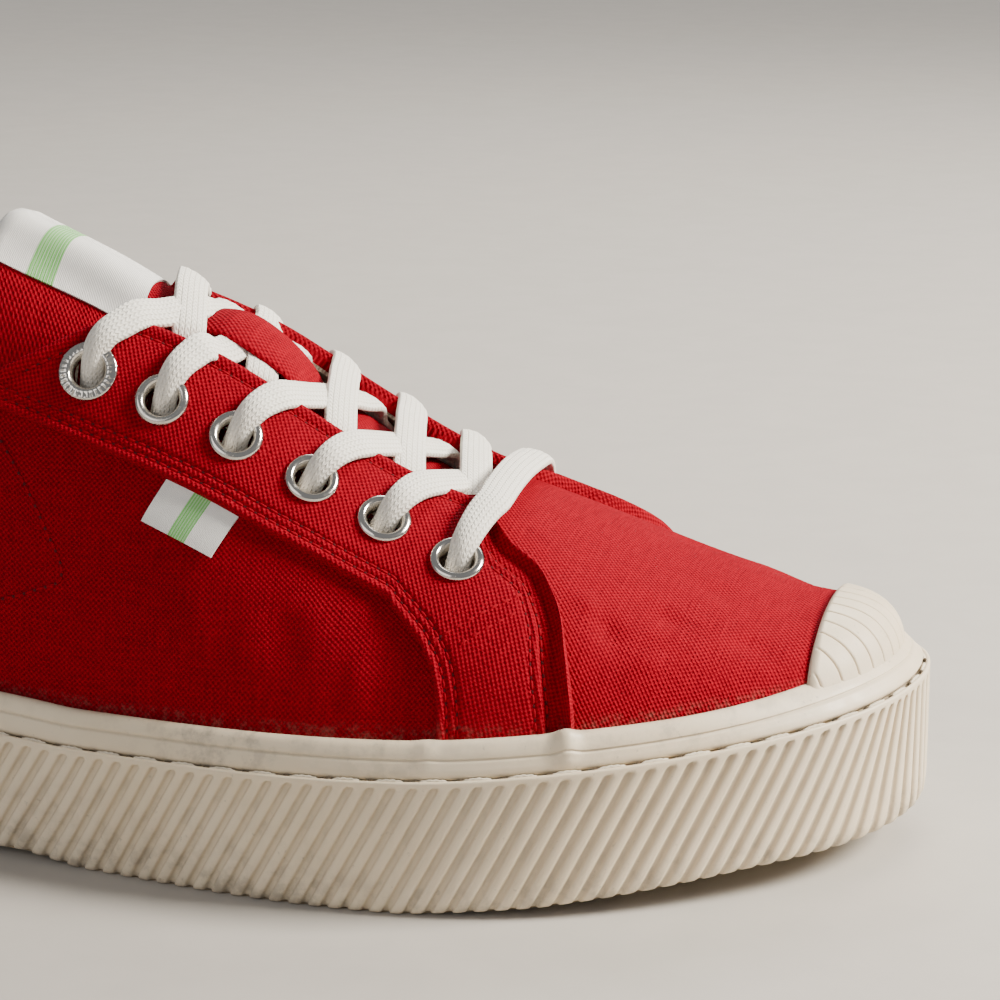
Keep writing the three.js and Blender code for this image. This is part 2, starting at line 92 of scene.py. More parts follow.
SOLE_OUTLINE = np.array([
    (303, 8.5), (293.5, -19.5), (265, -41.5), (235, -56), (195, -58.5),
    (155, -50.5), (112, -43), (71, -41.8), (36, -41.5), (7, -26),
    (4, 0), (7, 26), (36, 41.5), (71, 39.5), (112, 35.5),
    (155, 39), (195, 50), (235, 54.5), (272, 47.5), (297, 32),
], float)
SOLE_HEIGHTS = table(("x", "bottom", "rim", "foxing"), [
    (5, 2, 29.6, 38), (18, 0, 29.2, 37.4), (40, 0, 28.8, 36.6), (96, 0, 26.2, 33.5), (106, 1.6, 25.7, 32.9),
    (140, 1.6, 24, 30.6), (152, 0, 23.5, 29.9), (216, 0, 25.2, 31.6), (240, 1.8, 26.9, 33.2),
    (275, 5.8, 29.8, 35.6), (301, 7.2, 33, 38.6),
])
LAST = table(("x", "ridge", "shift", "spread", "crown"), [
    (5, 150, 0, 2.2, 1.6), (48, 150, 0, 2.2, 1.6), (80, 143, -2, 2.2, 1.65),
    (110, 130, -4.2, 2.05, 1.73), (130, 120, -4.9, 2.05, 1.73), (150, 110.8, -5, 2.05, 1.73),
    (170, 98.5, -4.4, 2.05, 1.73), (190, 83.8, -3.1, 2.05, 1.73), (210, 71.4, -1.9, 2.05, 1.73),
    (230, 62.7, -0.6, 2.13, 2.27), (250, 54.7, 0.2, 2.23, 3), (265, 50.6, 0.9, 2.28, 3.35),
    (278, 48.7, 1.4, 2.28, 3.35), (290, 52.5, 1.5, 2.28, 3.35), (300, 58, 1.5, 2.28, 3.35),
])
COLLAR = table(("x", "z"), [
    (-20, 79), (5, 78.5), (22, 75), (40, 69.5), (60, 66),
    (78, 66.5), (96, 71), (115, 79.5), (132, 89.5), (151, 99),
])
THROAT = table(("x", "half"), [(140, 18.5), (160, 16.2), (180, 15.2), (200, 15), (216, 14)])
EYELETS = table(("x", "across"), [
    (149.3, 24), (163.7, 24.8), (177.8, 25.6), (192.1, 26.3), (205.7, 26.8), (220.3, 29.6),
])
GROOVES = (28, 42, 74, 88, 160, 172, 196, 208, 222, 236, 250, 264)

# Facing outlines by share of the facing's length: station, and reach out from the ridge to the feather.
FACING_LOW = table(("x", "station", "reach"), [
    (0, 5.56, .760), (.1, 5.05, .756), (.2, 4.75, .748), (.3, 4.38, .742),
    (.42, 3.92, .743), (.52, 3.66, .759), (.60, 3.60, .785), (.66, 3.54, .810),
    (.72, 3.44, .855), (.78, 3.42, .872), (.84, 3.38, .897), (.89, 3.36, .915),
    (.93, 3.34, .935), (.96, 3.32, .965), (.985, 3.31, .987), (1, 3.305, 1),
])
FACING_CORNER = 0.66
FACING_TOP = table(("x", "station"), [
    (0, 5.56), (.1, 5.05), (.2, 4.75), (.3, 4.38), (.42, 3.95), (.52, 3.62), (.60, 3.44),
    (FACING_CORNER, 3.33),
])
FACING_FRONT = table(("x", "station", "reach"), [
    (.72, 3.18, .433), (.78, 3.06, .500), (.84, 2.87, .560), (.89, 2.73, .658),
    (.93, 2.65, .756), (.96, 2.61, .886), (.985, 2.59, .951), (1, 2.57, 1),
])
# Seams on the lateral and the medial side alike, as station and reach.
COUNTER_SEAM = [
    (5.53, .803), (5.41, .843), (5.30, .883), (5.21, .921), (5.34, .940), (5.51, .954), (5.7, .966),
]
JOINING_SEAMS = [[(3.39, .855), (3.2, .79), (2.97, .685)], [(3.25, .862), (3.13, .82), (2.97, .755)]]
SIDE_LABEL = [(4.74, .752), (4.38, .740), (4.48, .833), (4.83, .828)]

# Soft troughs (negative) and ridges of the canvas, with half-lengths round the shoe and up it.
CREASES = table(("station", "reach", "round", "up", "height"), [
    (5.25, .38, .55, .15, -2.4), (14.75, .38, .55, .15, -2.4), (2.3, .78, .10, .07, -.7),
    (2.42, .66, .10, .05, .45), (1.75, .70, .16, .06, -.6), (1.3, .84, .14, .05, -.5),
    (2.1, .90, .12, .04, .45), (.7, .55, .3, .08, -.5), (18.1, .60, .2, .12, -.8),
    (18.7, .8, .2, .1, -.6), (17.7, .82, .12, .07, -.7), (4.1, .90, .12, .05, -.8),
    (4.55, .93, .10, .05, .55), (4.9, .88, .12, .05, -.6), (5.3, .93, .14, .04, -.5),
    (3.72, .92, .07, .05, .5), (5.8, .90, .12, .05, -.6), (6.6, .92, .2, .05, -.5),
    (7.4, .95, .3, .03, -.8), (12.7, .95, .3, .03, -.8), (15.3, .90, .2, .06, -.7),
    (15.9, .92, .15, .05, .5), (14.2, .92, .2, .05, -.6), (13.4, .90, .2, .06, .4),
])


# ---- Curves ----
def spline(points, u, derivative=False):
    """Point of a closed uniform cubic B-spline."""
    first = np.floor(u).astype(int)
    t = u - first
    if derivative:
        weights = (-(1 - t) ** 2 / 2, (9 * t * t - 12 * t) / 6, (-9 * t * t + 6 * t + 3) / 6, t * t / 2)
    else:
        weights = ((1 - t) ** 3 / 6, (3 * t ** 3 - 6 * t * t + 4) / 6,
                   (-3 * t ** 3 + 3 * t * t + 3 * t + 1) / 6, t ** 3 / 6)
    return sum(w[..., None] * points[(first + k - 1) % len(points)] for k, w in enumerate(weights))


def look_up(rows, x, name):
    """Smooth value of a table's column at x."""
    xs, ys = rows["x"], rows[name]
    x = np.clip(x, xs[0], xs[-1])
    slope = np.gradient(ys, xs)
    slope[1:-1] = (ys[2:] - ys[:-2]) / (xs[2:] - xs[:-2])
    i = np.clip(np.searchsorted(xs, x) - 1, 0, len(xs) - 2)
    h = xs[i + 1] - xs[i]
    t = (x - xs[i]) / h
    return ((2 * t ** 3 - 3 * t * t + 1) * ys[i] + (t ** 3 - 2 * t * t + t) * h * slope[i]
            + (3 * t * t - 2 * t ** 3) * ys[i + 1] + (t ** 3 - t * t) * h * slope[i + 1])


def smooth(low, high, value):
    """0 below low, 1 above high, and a soft step between."""
    t = np.clip((value - low) / (high - low), 0, 1)
    return t * t * (3 - 2 * t)


def outline(u, inset=0.0):
    """Plan point of the sole's outline, moved inwards."""
    u = np.asarray(u, float) % ROUND
    p, d = spline(SOLE_OUTLINE, u), spline(SOLE_OUTLINE, u, True)
    d = d / np.linalg.norm(d, axis=-1, keepdims=True)
    inward = np.stack([d[..., 1], -d[..., 0]], -1)
    return p + inward * np.asarray(inset, float)[..., None]


def sole_bottom(x):
    """Height of the tread: heel, arch and toe spring."""
    return np.interp(x, SOLE_HEIGHTS["x"], SOLE_HEIGHTS["bottom"])


def rim(x):
    """Height of the cup's rim."""
    return look_up(SOLE_HEIGHTS, x, "rim")


def foxing_top(x):
    """Height of the foxing's top edge."""
    return look_up(SOLE_HEIGHTS, x, "foxing")


def shift(x):
    """Sideways place of the last's ridge."""
    return look_up(LAST, x, "shift")


def along_path(points):
    """Distance along a line of points, from 0."""
    steps = np.linalg.norm(np.diff(points, axis=0), axis=-1)
    return np.concatenate([np.zeros((1,) + steps.shape[1:]), np.cumsum(steps, axis=0)])


def through(points, count):
    """Smooth line through given points, as many as asked for, evenly spaced."""
    points = np.asarray(points, float)
    at = np.arange(len(points), dtype=float)
    fine = np.linspace(0, len(points) - 1, 20 * len(points))
    line = np.stack([look_up({"x": at, "v": points[:, k]}, fine, "v") for k in range(points.shape[1])], -1)
    arc = along_path(line)
    wanted = np.linspace(0, arc[-1], count)
    return np.stack([np.interp(wanted, arc, line[:, k]) for k in range(points.shape[1])], -1)


# ---- The last's form ----
def ridge_x(u):
    """Place along the ridge that a station's section runs to."""
    return np.clip((outline(u, FEATHER)[..., 0] + outline(-u, FEATHER)[..., 0]) / 2, HEEL_POLE, TOE_POLE)


def form(u, angle):
    """Point of the last at station u and rise angle, from the feather (0) to the ridge (a quarter turn)."""
    u, angle = np.broadcast_arrays(np.asarray(u, float), np.asarray(angle, float))
    foot = outline(u, FEATHER)
    top_x = ridge_x(u)
    top = np.stack([top_x, shift(top_x)], -1)
    reach = np.cos(angle)
    plan = top + reach[..., None] * (foot - top)
    low = foxing_top(foot[..., 0]) - FEATHER_DROP
    x = plan[..., 0]
    rise = np.clip(1 - reach ** look_up(LAST, x, "spread"), 0, 1) ** (1 / look_up(LAST, x, "crown"))
    return np.concatenate([plan, (low + (look_up(LAST, x, "ridge") - low) * rise)[..., None]], -1)


def form_normal(u, angle):
    """Outward direction of the last: level at the feather, and upright along the ridge."""
    step, end = 0.02, 0.06
    a = np.clip(angle, end, TOP - end)
    along = form(u + step, a) - form(u - step, a)
    up = form(u, a + step) - form(u, a - step)
    normal = np.cross(up, along)
    normal[..., 2] = np.where(angle < 0.05, 0, normal[..., 2])
    normal[..., 1] = np.where(angle > TOP - 1e-4, 0, normal[..., 1])
    return normal / np.linalg.norm(normal, axis=-1, keepdims=True)


def relief(u, angle):
    """Height of the listed creases."""
    reach = np.cos(angle)
    total = np.zeros(np.broadcast(u, angle).shape)
    for at, over, wide, tall, height in zip(*CREASES.values()):
        off = (np.asarray(u) - at + ROUND / 2) % ROUND - ROUND / 2
        total += height * np.exp(-(off / wide) ** 2 - ((reach - over) / tall) ** 2)
    return total


def off_form(u, angle, offset):
    """Point standing off the last, with the canvas's creases."""
    u, angle = np.broadcast_arrays(np.asarray(u, float), np.asarray(angle, float))
    offset = np.asarray(offset, float) + relief(u, angle)
    return form(u, angle) + form_normal(u, angle) * offset[..., None]


STATIONS = np.linspace(1.5, ROUND / 2, 1200)
STATION_RIDGES = ridge_x(STATIONS)


def locate(x, across):
    """Station and angle over a ridge place x at a distance from the ridge, lateral negative."""
    x, across = np.broadcast_arrays(np.asarray(x, float), np.asarray(across, float))
    lateral = np.interp(-x, -STATION_RIDGES, STATIONS)
    u = np.where(across < 0, lateral, ROUND - lateral)
    foot = outline(u, FEATHER)
    top = np.stack([x, shift(x)], -1)
    reach = np.abs(across) / np.linalg.norm(foot - top, axis=-1)
    return u, np.arccos(np.clip(reach, 0, 1))


def lifted(x, across, lift):
    """Point off the last, from a ridge place, a distance from the ridge and a lift."""
    u, angle = locate(x, across)
    return off_form(u, angle, lift)


_samples = outline(np.arange(72) * ROUND / 72)
MIDDLE = np.array([*(_samples.min(0) + _samples.max(0)) / 2, 0])


def to_row(points):
    """Millimetres on the last to metres in the row frame."""
    return (np.asarray(points, float) - MIDDLE) * MM


# ---- Meshes ----
def cap_quads(count):
    """Quads that close a ring of an even count of points."""
    return np.array([[k, k + 1, count - 2 - k, count - 1 - k] for k in range(count // 2 - 1)])


def grid_quads(rows, columns, wrap_rows=False, wrap_columns=False):
    """Vertex numbers of a grid's quads."""
    i = np.arange(rows if wrap_rows else rows - 1)[:, None]
    j = np.arange(columns if wrap_columns else columns - 1)[None, :]
    n, m = (i + 1) % rows, (j + 1) % columns
    corners = [i * columns + j, i * columns + m, n * columns + m, n * columns + j]
    return np.stack([np.broadcast_to(c, (i.shape[0], j.shape[1])) for c in corners], -1)


def shell_quads(rows, columns, keep):
    """Quads of a double sheet: outer grid, inner grid, and a wall round every edge and hole."""
    size = rows * columns
    outer = grid_quads(rows, columns)
    faces = [outer[keep], outer[keep][:, ::-1] + size]
    padded = np.pad(keep, 1)
    index = np.arange(size).reshape(rows, columns)
    for axis in (0, 1):
        first = padded[:-1, 1:-1] if axis == 0 else padded[1:-1, :-1]
        second = padded[1:, 1:-1] if axis == 0 else padded[1:-1, 1:]
        start = index[:, :-1] if axis == 0 else index[:-1, :]
        end = index[:, 1:] if axis == 0 else index[1:, :]
        edge = first != second
        a, b = start[edge], end[edge]
        faces.append(np.stack([a, b, b + size, a + size], -1))
    return np.concatenate(faces)


# Welds from this distance up, in millimetres, join a sheet's own edges.
CLOSING_WELD = 0.03
# Angle between faces, in degrees, past which an edge shows.
SHARP = 60


def drop_inner_walls(work):
    """Removes the faces that closed a sheet's edge where two edges have been welded together."""
    crowded = {edge for edge in work.edges if len(edge.link_faces) > 2}
    walls = [face for face in work.faces if sum(edge in crowded for edge in face.edges) > 1]
    bmesh.ops.delete(work, geom=walls, context="FACES")


def make_piece(name, points, faces, node, finish, uv=None, values=None, weld=0.0, angle=SHARP):
    """A finished piece from points and cloth coordinates in millimetres, and quads.

    values holds one number for each point under each key; weld is the distance that points are merged at.
    """
    points = np.asarray(points, float).reshape(-1, 3)
    faces = np.asarray(faces).reshape(-1, 4)
    mesh = bpy.data.meshes.new(name)
    mesh.from_pydata(to_row(points).tolist(), [], faces.tolist())
    if uv is not None:
        layer = mesh.uv_layers.new(name="cloth")
        loops = np.zeros(len(mesh.loops), int)
        mesh.loops.foreach_get("vertex_index", loops)
        layer.data.foreach_set("uv", (np.asarray(uv, float).reshape(-1, 2)[loops] * MM).ravel())
    for key, value in (values or {}).items():
        layer = mesh.attributes.new(key, "FLOAT", "POINT")
        layer.data.foreach_set("value", np.asarray(value, np.float32).ravel())
    piece = bpy.data.objects.new(name, mesh)
    bpy.context.scene.collection.objects.link(piece)
    work = bmesh.new()
    work.from_mesh(mesh)
    bmesh.ops.remove_doubles(work, verts=work.verts, dist=max(weld, 1e-4) * MM)
    bmesh.ops.dissolve_degenerate(work, edges=work.edges, dist=1e-6)
    if weld >= CLOSING_WELD:
        drop_inner_walls(work)
    bmesh.ops.delete(work, geom=[v for v in work.verts if not v.link_faces], context="VERTS")
    bmesh.ops.recalc_face_normals(work, faces=work.faces)
    work.to_mesh(mesh)
    work.free()
    return finish_piece(piece, node, finish, angle)


def make_sheet(name, outer, inner, node, slot, finish, uv=None, values=None, keep=None, weld=0.0,
               angle=SHARP):
    """A finished double sheet from its outer and inner grids of points.

    A value is one grid for both faces, or a pair of grids; keep says which quads stay.
    """
    rows, columns = outer.shape[:2]
    keep = np.ones((rows - 1, columns - 1), bool) if keep is None else keep
    pairs = {k: v if isinstance(v, tuple) else (v, v) for k, v in (values or {}).items()}
    doubled = None if uv is None else np.concatenate([uv.reshape(-1, 2)] * 2)
    return make_piece(name, np.stack([outer, inner]), shell_quads(rows, columns, keep), node, finish,
                      uv=doubled, values={k: np.stack(pair) for k, pair in pairs.items()},
                      weld=weld, angle=angle)


def finish_piece(piece, node, finish, angle=SHARP):
    """Shades a piece, gives it its material, and ties it to the CAD frame."""
    deselect()
    piece.select_set(True)
    bpy.context.view_layer.objects.active = piece
    bpy.ops.object.shade_smooth_by_angle(angle=math.radians(angle))
    piece.data.materials.clear()
    piece.data.materials.append(finish)
    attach(piece, "root")
    if node:
        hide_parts(*([node] if isinstance(node, str) else node))
    return piece


def deselect():
    """Nothing stays selected."""
    for item in bpy.context.selected_objects:
        item.select_set(False)


# ---- Materials ----
class Finish:
    """A material's node graph, built a step at a time."""

    def __init__(self, name, color, roughness, metallic=0.0):
        self.material = bpy.data.materials.new(name)
        self.material.use_nodes = True
        self.material.diffuse_color = (*color, 1)
        self.tree = self.material.node_tree
        self.shader = self.tree.nodes["Principled BSDF"]
        self.shader.inputs["Base Color"].default_value = (*color, 1)
        self.shader.inputs["Roughness"].default_value = roughness
        self.shader.inputs["Metallic"].default_value = metallic

    def node(self, kind, *inputs, **settings):
        made = self.tree.nodes.new(kind)
        for key, value in settings.items():
            setattr(made, key, value)
        for socket, value in zip(made.inputs, inputs):
            self.feed(socket, value)
        return made

    def feed(self, socket, value):
        if isinstance(value, bpy.types.NodeSocket):
            self.tree.links.new(value, socket)
        elif value is not None:
            socket.default_value = value

    def math(self, operation, *values):
        return self.node("ShaderNodeMath", *values, operation=operation).outputs[0]

    def cloth(self):
        made = self.node("ShaderNodeUVMap", uv_map="cloth")
        split = self.node("ShaderNodeSeparateXYZ", made.outputs[0])
        return split.outputs[0], split.outputs[1]

    def place(self):
        return self.node("ShaderNodeTexCoord").outputs["Object"]

    def value(self, name):
        return self.node("ShaderNodeAttribute", attribute_name=name).outputs["Fac"]

    def wave(self, coordinate, pitch, phase=0.0):
        turned = self.math("MULTIPLY_ADD", coordinate, TURN / (pitch * MM), phase)
        return self.math("SINE", turned)

    def noise(self, scale, detail=3.0, roughness=0.55, vector=None):
        made = self.node("ShaderNodeTexNoise")
        self.feed(made.inputs["Vector"], vector if vector is not None else self.place())
        made.inputs["Scale"].default_value = scale
        made.inputs["Detail"].default_value = detail
        made.inputs["Roughness"].default_value = roughness
        return made.outputs[0]

    def stretched(self, u, v, across_u, across_v):
        return self.node("ShaderNodeCombineXYZ", self.math("MULTIPLY", u, across_u),
                         self.math("MULTIPLY", v, across_v), 0.0).outputs[0]

    def remap(self, value, low, high, to_low=0.0, to_high=1.0):
        made = self.node("ShaderNodeMapRange", value, low, high, to_low, to_high,
                         interpolation_type="SMOOTHSTEP")
        return made.outputs[0]

    def mix(self, amount, first, second):
        made = self.node("ShaderNodeMix", data_type="RGBA")
        self.feed(made.inputs[0], amount)
        self.feed(made.inputs[6], (*first, 1) if isinstance(first, tuple) else first)
        self.feed(made.inputs[7], (*second, 1) if isinstance(second, tuple) else second)
        return made.outputs[2]

    def bump(self, height, distance, strength=1.0, under=None):
        made = self.node("ShaderNodeBump")
        made.inputs["Strength"].default_value = strength
        made.inputs["Distance"].default_value = distance * MM
        self.feed(made.inputs["Height"], height)
        if under is not None:
            self.feed(made.inputs["Normal"], under)
        return made.outputs[0]

    def finish(self, color=None, normal=None, roughness=None):
        for key, value in (("Base Color", color), ("Normal", normal), ("Roughness", roughness)):
            if value is not None:
                self.feed(self.shader.inputs[key], value)
        return self.material


def woven(name, color, thread, contrast, soil=None, sheen=0.0):
    """Plain-woven canvas: threads over and under with painted shade in the weave's valleys, slubs along both,
    worn edges, dust near the sole.
    """
    f = Finish(name, color, 0.88)
    u, v = f.cloth()
    wander = f.math("MULTIPLY", f.math("SUBTRACT", f.noise(60, 1), 0.5), thread * MM * 1.2)
    u, v = f.math("ADD", u, wander), f.math("SUBTRACT", v, wander)
    knots = f.math("MULTIPLY", f.wave(u, thread), f.wave(v, thread))
    slub_u = f.noise(1.0, 2, vector=f.stretched(u, v, 120, 2400))
    slub_v = f.noise(1.0, 2, vector=f.stretched(u, v, 2400, 120))
    slubs = f.math("ADD", slub_u, slub_v)
    height = f.math("MULTIPLY_ADD", knots, 0.5, f.math("MULTIPLY", slubs, 0.9))
    dark = tuple(c * (1 - contrast) for c in color)
    light = tuple(min(c * (1 + 0.7 * contrast), 1) for c in color)
    # tone follows the threads' height: painted shade in the weave's valleys, lighter on the raised threads,
    # plus the slubs' own tone
    weave_shade_and_slubs = f.math("ADD", f.math("MULTIPLY", knots, 0.30), f.math("MULTIPLY", slubs, 0.55))
    shade = f.remap(weave_shade_and_slubs, 0.12, 0.98)
    tint = f.mix(shade, dark, light)
    faded = f.math("MULTIPLY", f.remap(f.noise(18, 4), 0.35, 0.75), 0.18)
    tint = f.mix(faded, tint, tuple(min(c * 1.15 + 0.002, 1) for c in color))
    worn = f.math("MULTIPLY", f.value("wear"), f.remap(f.noise(500, 2), 0.3, 0.65))
    tint = f.mix(f.math("MULTIPLY", worn, 0.30), tint, tuple(min(c * 1.35 + 0.008, 1) for c in color))
    if soil:
        dust = f.math("MULTIPLY", f.value("dust"), f.remap(f.noise(700, 5, 0.7), 0.42, 0.7))
        tint = f.mix(f.math("MULTIPLY", dust, 0.3), tint, soil)
    f.shader.inputs["Sheen Weight"].default_value = sheen
    f.shader.inputs["Sheen Roughness"].default_value = 0.5
    f.shader.inputs["Sheen Tint"].default_value = (*light, 1)
    f.shader.inputs["Specular IOR Level"].default_value = 0.05
    return f.finish(tint, f.bump(height, 0.24, 1.0))


def rubber_finish(name, color):
    """Cream moulded rubber: painted shade in its grooves, grey smudges, fine mould grain."""
    f = Finish(name, color, 0.52)
    grain = f.noise(1400, 3)
    cloud = f.noise(28, 4)
    tint = f.mix(f.remap(cloud, 0.3, 0.75), color, tuple(c * k for c, k in zip(color, (0.94, 0.92, 0.87))))
    # painted shade: the shaded_groove value darkens the rib and tread grooves, the sole's channel, the
    # foxing's foot and pressed line, and the toe cap's grooves
    tint = f.mix(f.math("MULTIPLY", f.value("shaded_groove"), 0.45), tint, (0.50, 0.42, 0.30))
    smudge = f.math("MULTIPLY", f.value("dirt"), f.remap(f.noise(230, 5, 0.65), 0.44, 0.66))
    speck = f.math("MULTIPLY", f.remap(f.noise(620, 3, 0.6), 0.66, 0.74), 0.35)
    tint = f.mix(f.math("MINIMUM", f.math("ADD", f.math("MULTIPLY", smudge, 0.55), speck), 1.0), tint,
                 (0.22, 0.19, 0.155))
    rough = f.remap(f.noise(160, 3), 0.3, 0.7, 0.42, 0.62)
    f.shader.inputs["Subsurface Weight"].default_value = 0.08
    f.shader.inputs["Subsurface Radius"].default_value = (0.8, 0.5, 0.3)
    f.shader.inputs["Subsurface Scale"].default_value = 0.002
    return f.finish(tint, f.bump(grain, 0.05, 0.5), rough)


def metal_finish(name):
    """Polished nickel plate with hairline scratches and a little tarnish."""
    color = (0.64, 0.61, 0.56)
    f = Finish(name, color, 0.18, 1.0)
    scratches = f.noise(2600, 2)
    tarnish = f.remap(f.noise(500, 3), 0.45, 0.75)
    tint = f.mix(f.math("MULTIPLY", tarnish, 0.4), color, (0.47, 0.43, 0.37))
    return f.finish(tint, f.bump(scratches, 0.015, 0.4), f.remap(tarnish, 0, 1, 0.14, 0.32))


def lace_finish(name, color, width):
    """Flat braided cotton: lengthwise ribs with chevron plaiting and a soft nap, painted shade between the
    ribs and in the plaiting.
    """
    f = Finish(name, color, 0.93)
    u, v = f.cloth()
    across = f.math("DIVIDE", v, width * MM)
    ribs = f.math("PINGPONG", f.math("MULTIPLY", across, 6.0), 0.5)
    lean = f.math("MULTIPLY_ADD", ribs, 7.5, f.math("MULTIPLY", u, TURN / (1.05 * MM)))
    plait = f.math("SINE", lean)
    valley = f.remap(ribs, 0.0, 0.18)
    nap = f.noise(2300, 4, 0.7)
    height = f.math("ADD", f.math("MULTIPLY_ADD", plait, 0.28, f.math("MULTIPLY", valley, 0.6)),
                    f.math("MULTIPLY", nap, 0.7))
    # tone follows the braid's relief: painted shade between the ribs and in the plaiting, plus the nap's own
    # tone
    braid_shade_and_nap = f.math("ADD", f.math("MULTIPLY", plait, 0.16),
                  f.math("MULTIPLY_ADD", valley, 0.4, f.math("MULTIPLY", nap, 0.5)))
    tint = f.mix(f.remap(braid_shade_and_nap, 0.05, 0.85), tuple(c * k for c, k in zip(color, (0.80, 0.78, 0.73))), color)
    tint = f.mix(f.math("MULTIPLY", f.value("wear"), 0.28), tint, (0.52, 0.45, 0.40))
    f.shader.inputs["Sheen Weight"].default_value = 0.35
    f.shader.inputs["Sheen Roughness"].default_value = 0.6
    f.shader.inputs["Specular IOR Level"].default_value = 0.2
    return f.finish(tint, f.bump(height, 0.22, 0.8))


def label_finish(name, bands):
    """White satin label with fine weft lines and a plain green bar."""
    color = (0.80, 0.79, 0.76)
    f = Finish(name, color, 0.62)
    u, v = f.cloth()
    weft = f.math("MULTIPLY", f.wave(u, 0.32), f.math("MULTIPLY_ADD", f.wave(v, 0.5), 0.3, 0.7))
    tint = f.mix(f.remap(f.math("MULTIPLY_ADD", weft, 0.25, f.noise(420, 3)), 0.2, 0.9),
                 tuple(c * 0.90 for c in color), color)
    low_u, high_u, low_v, high_v = (b * MM for b in bands)
    inside = f.math("MULTIPLY", f.math("GREATER_THAN", u, low_u), f.math("LESS_THAN", u, high_u))
    inside = f.math("MULTIPLY", inside, f.math("GREATER_THAN", v, low_v))
    inside = f.math("MULTIPLY", inside, f.math("LESS_THAN", v, high_v))
    thread = f.math("MULTIPLY_ADD", f.wave(u, 0.55), 0.18, 0.75)
    tint = f.mix(f.math("MULTIPLY", inside, thread), tint, (0.07, 0.42, 0.02))
    return f.finish(tint, f.bump(f.math("ADD", weft, f.math("MULTIPLY", inside, 1.5)), 0.06, 0.6))


def plain_finish(name, color, roughness, grain_scale, grain_depth, contrast=0.15, shine=0.4):
    """Fibrous or matt surface with its own grain and soft colour change."""
    f = Finish(name, color, roughness)
    f.shader.inputs["Specular IOR Level"].default_value = shine
    grain = f.noise(grain_scale, 4, 0.6)
    dark = tuple(c * (1 - contrast) for c in color)
    light = tuple(min(c * (1 + contrast / 2), 1) for c in color)
    tint = f.mix(f.remap(f.math("ADD", grain, f.noise(40, 3)), 0.7, 1.3), dark, light)
    return f.finish(tint, f.bump(grain, grain_depth, 0.7))


_finishes = {}


def finish_of(key):
    """The shoe's materials, each made once."""
    if key not in _finishes:
        colours = bpy.context.scene.sneaker_colours
        red, cream, cotton = tuple(colours.canvas), tuple(colours.rubber), tuple(colours.cotton)
        lace_width = bpy.context.scene.sneaker_sizes.lace_width / MM
        makers = {
            "canvas": lambda: woven("canvas_red", red, 1.1, 0.5, soil=(0.33, 0.15, 0.11)),
            "lining": lambda: woven("lining_cotton", (0.62, 0.56, 0.46), 0.9, 0.25, sheen=0.1),
            "rubber": lambda: rubber_finish("rubber_cream", cream),
            "nickel": lambda: metal_finish("nickel_plate"),
            "lace": lambda: lace_finish("lace_cotton", cotton, lace_width),
            "tongue_label": lambda: label_finish("label_satin", (17.5, 22.5, -1, 30)),
            "side_label": lambda: label_finish("flag_satin", (5.9, 9.6, -1, 12)),
            "thread_red": lambda: plain_finish("thread_red", (red[0] * 1.1, red[1], red[2]), 0.9, 3000, 0.05,
                                               0.15, 0.1),
            # near-black red of the needle holes: painted shade
            "hole_shade_red": lambda: plain_finish("needle_hole_shade", (red[0] * 0.3, 0.0005, 0.002), 0.95, 1500, 0.05),
            "thread_cream": lambda: plain_finish("thread_cream", (0.70, 0.63, 0.50), 0.75, 2600, 0.06),
            # near-black brown of the sole's stitch holes: painted shade
            "hole": lambda: plain_finish("stitch_hole_shade", (0.075, 0.055, 0.035), 0.95, 1500, 0.05),
            "footbed": lambda: plain_finish("footbed_cork", (0.46, 0.35, 0.22), 0.9, 700, 0.12, 0.35),
        }
        _finishes[key] = makers[key]()
    return _finishes[key]


# ---- Settings a user would change ----
class SneakerSizes(bpy.types.PropertyGroup):
    rib_pitch: FloatProperty(name="Rib pitch", description="Distance between the sole's side ribs",
                             default=0.00385, min=0.002, max=0.01, unit="LENGTH")
    rib_depth: FloatProperty(name="Rib depth", description="Depth of the grooves between ribs",
                             default=0.001, min=0.0, max=0.002, unit="LENGTH")
    sole_stitch: FloatProperty(name="Sole stitch", description="Distance between the sole's stitch holes",
                               default=0.008, min=0.004, max=0.015, unit="LENGTH")
    seam_stitch: FloatProperty(name="Seam stitch", description="Distance between the canvas stitches",
                               default=0.0023, min=0.0015, max=0.005, unit="LENGTH")
    lace_width: FloatProperty(name="Lace width", description="Width of the flat lace",
                              default=0.0066, min=0.004, max=0.009, unit="LENGTH")
    lace_thickness: FloatProperty(name="Lace thickness", description="Thickness of the flat lace",
                                  default=0.0017, min=0.001, max=0.003, unit="LENGTH")
    cap_grooves: IntProperty(name="Cap grooves", description="Lengthwise grooves in the toe cap",
                             default=13, min=5, max=20)


class SneakerColours(bpy.types.PropertyGroup):
    canvas: FloatVectorProperty(name="Canvas", description="Colour of the canvas upper",
                                default=(0.25, 0.0006, 0.0095), min=0, max=1, subtype="COLOR")
    rubber: FloatVectorProperty(name="Rubber", description="Colour of the sole",
                                default=(0.71, 0.61, 0.463), min=0, max=1, subtype="COLOR")
    cotton: FloatVectorProperty(name="Cotton", description="Colour of the laces",
                                default=(0.90, 0.875, 0.80), min=0, max=1, subtype="COLOR")


# ---- The sole ----
def sole_arc():
    """Stations of the sole's outline against the distance round it from the toe."""
    u = np.linspace(0, ROUND, 6001)
    return u, along_path(outline(u))


def lean_of(s, total, heel):
    """Shift of the ribs from foot to top at a distance s: toward the toe on both sides, none at the tips."""
    turn = 32.0
    toe = smooth(0, turn, np.minimum(s % total, total - s % total))
    back = smooth(0, turn, np.abs(s % total - heel))
    return np.where(s % total < heel, -RIB_LEAN, RIB_LEAN) * toe * back


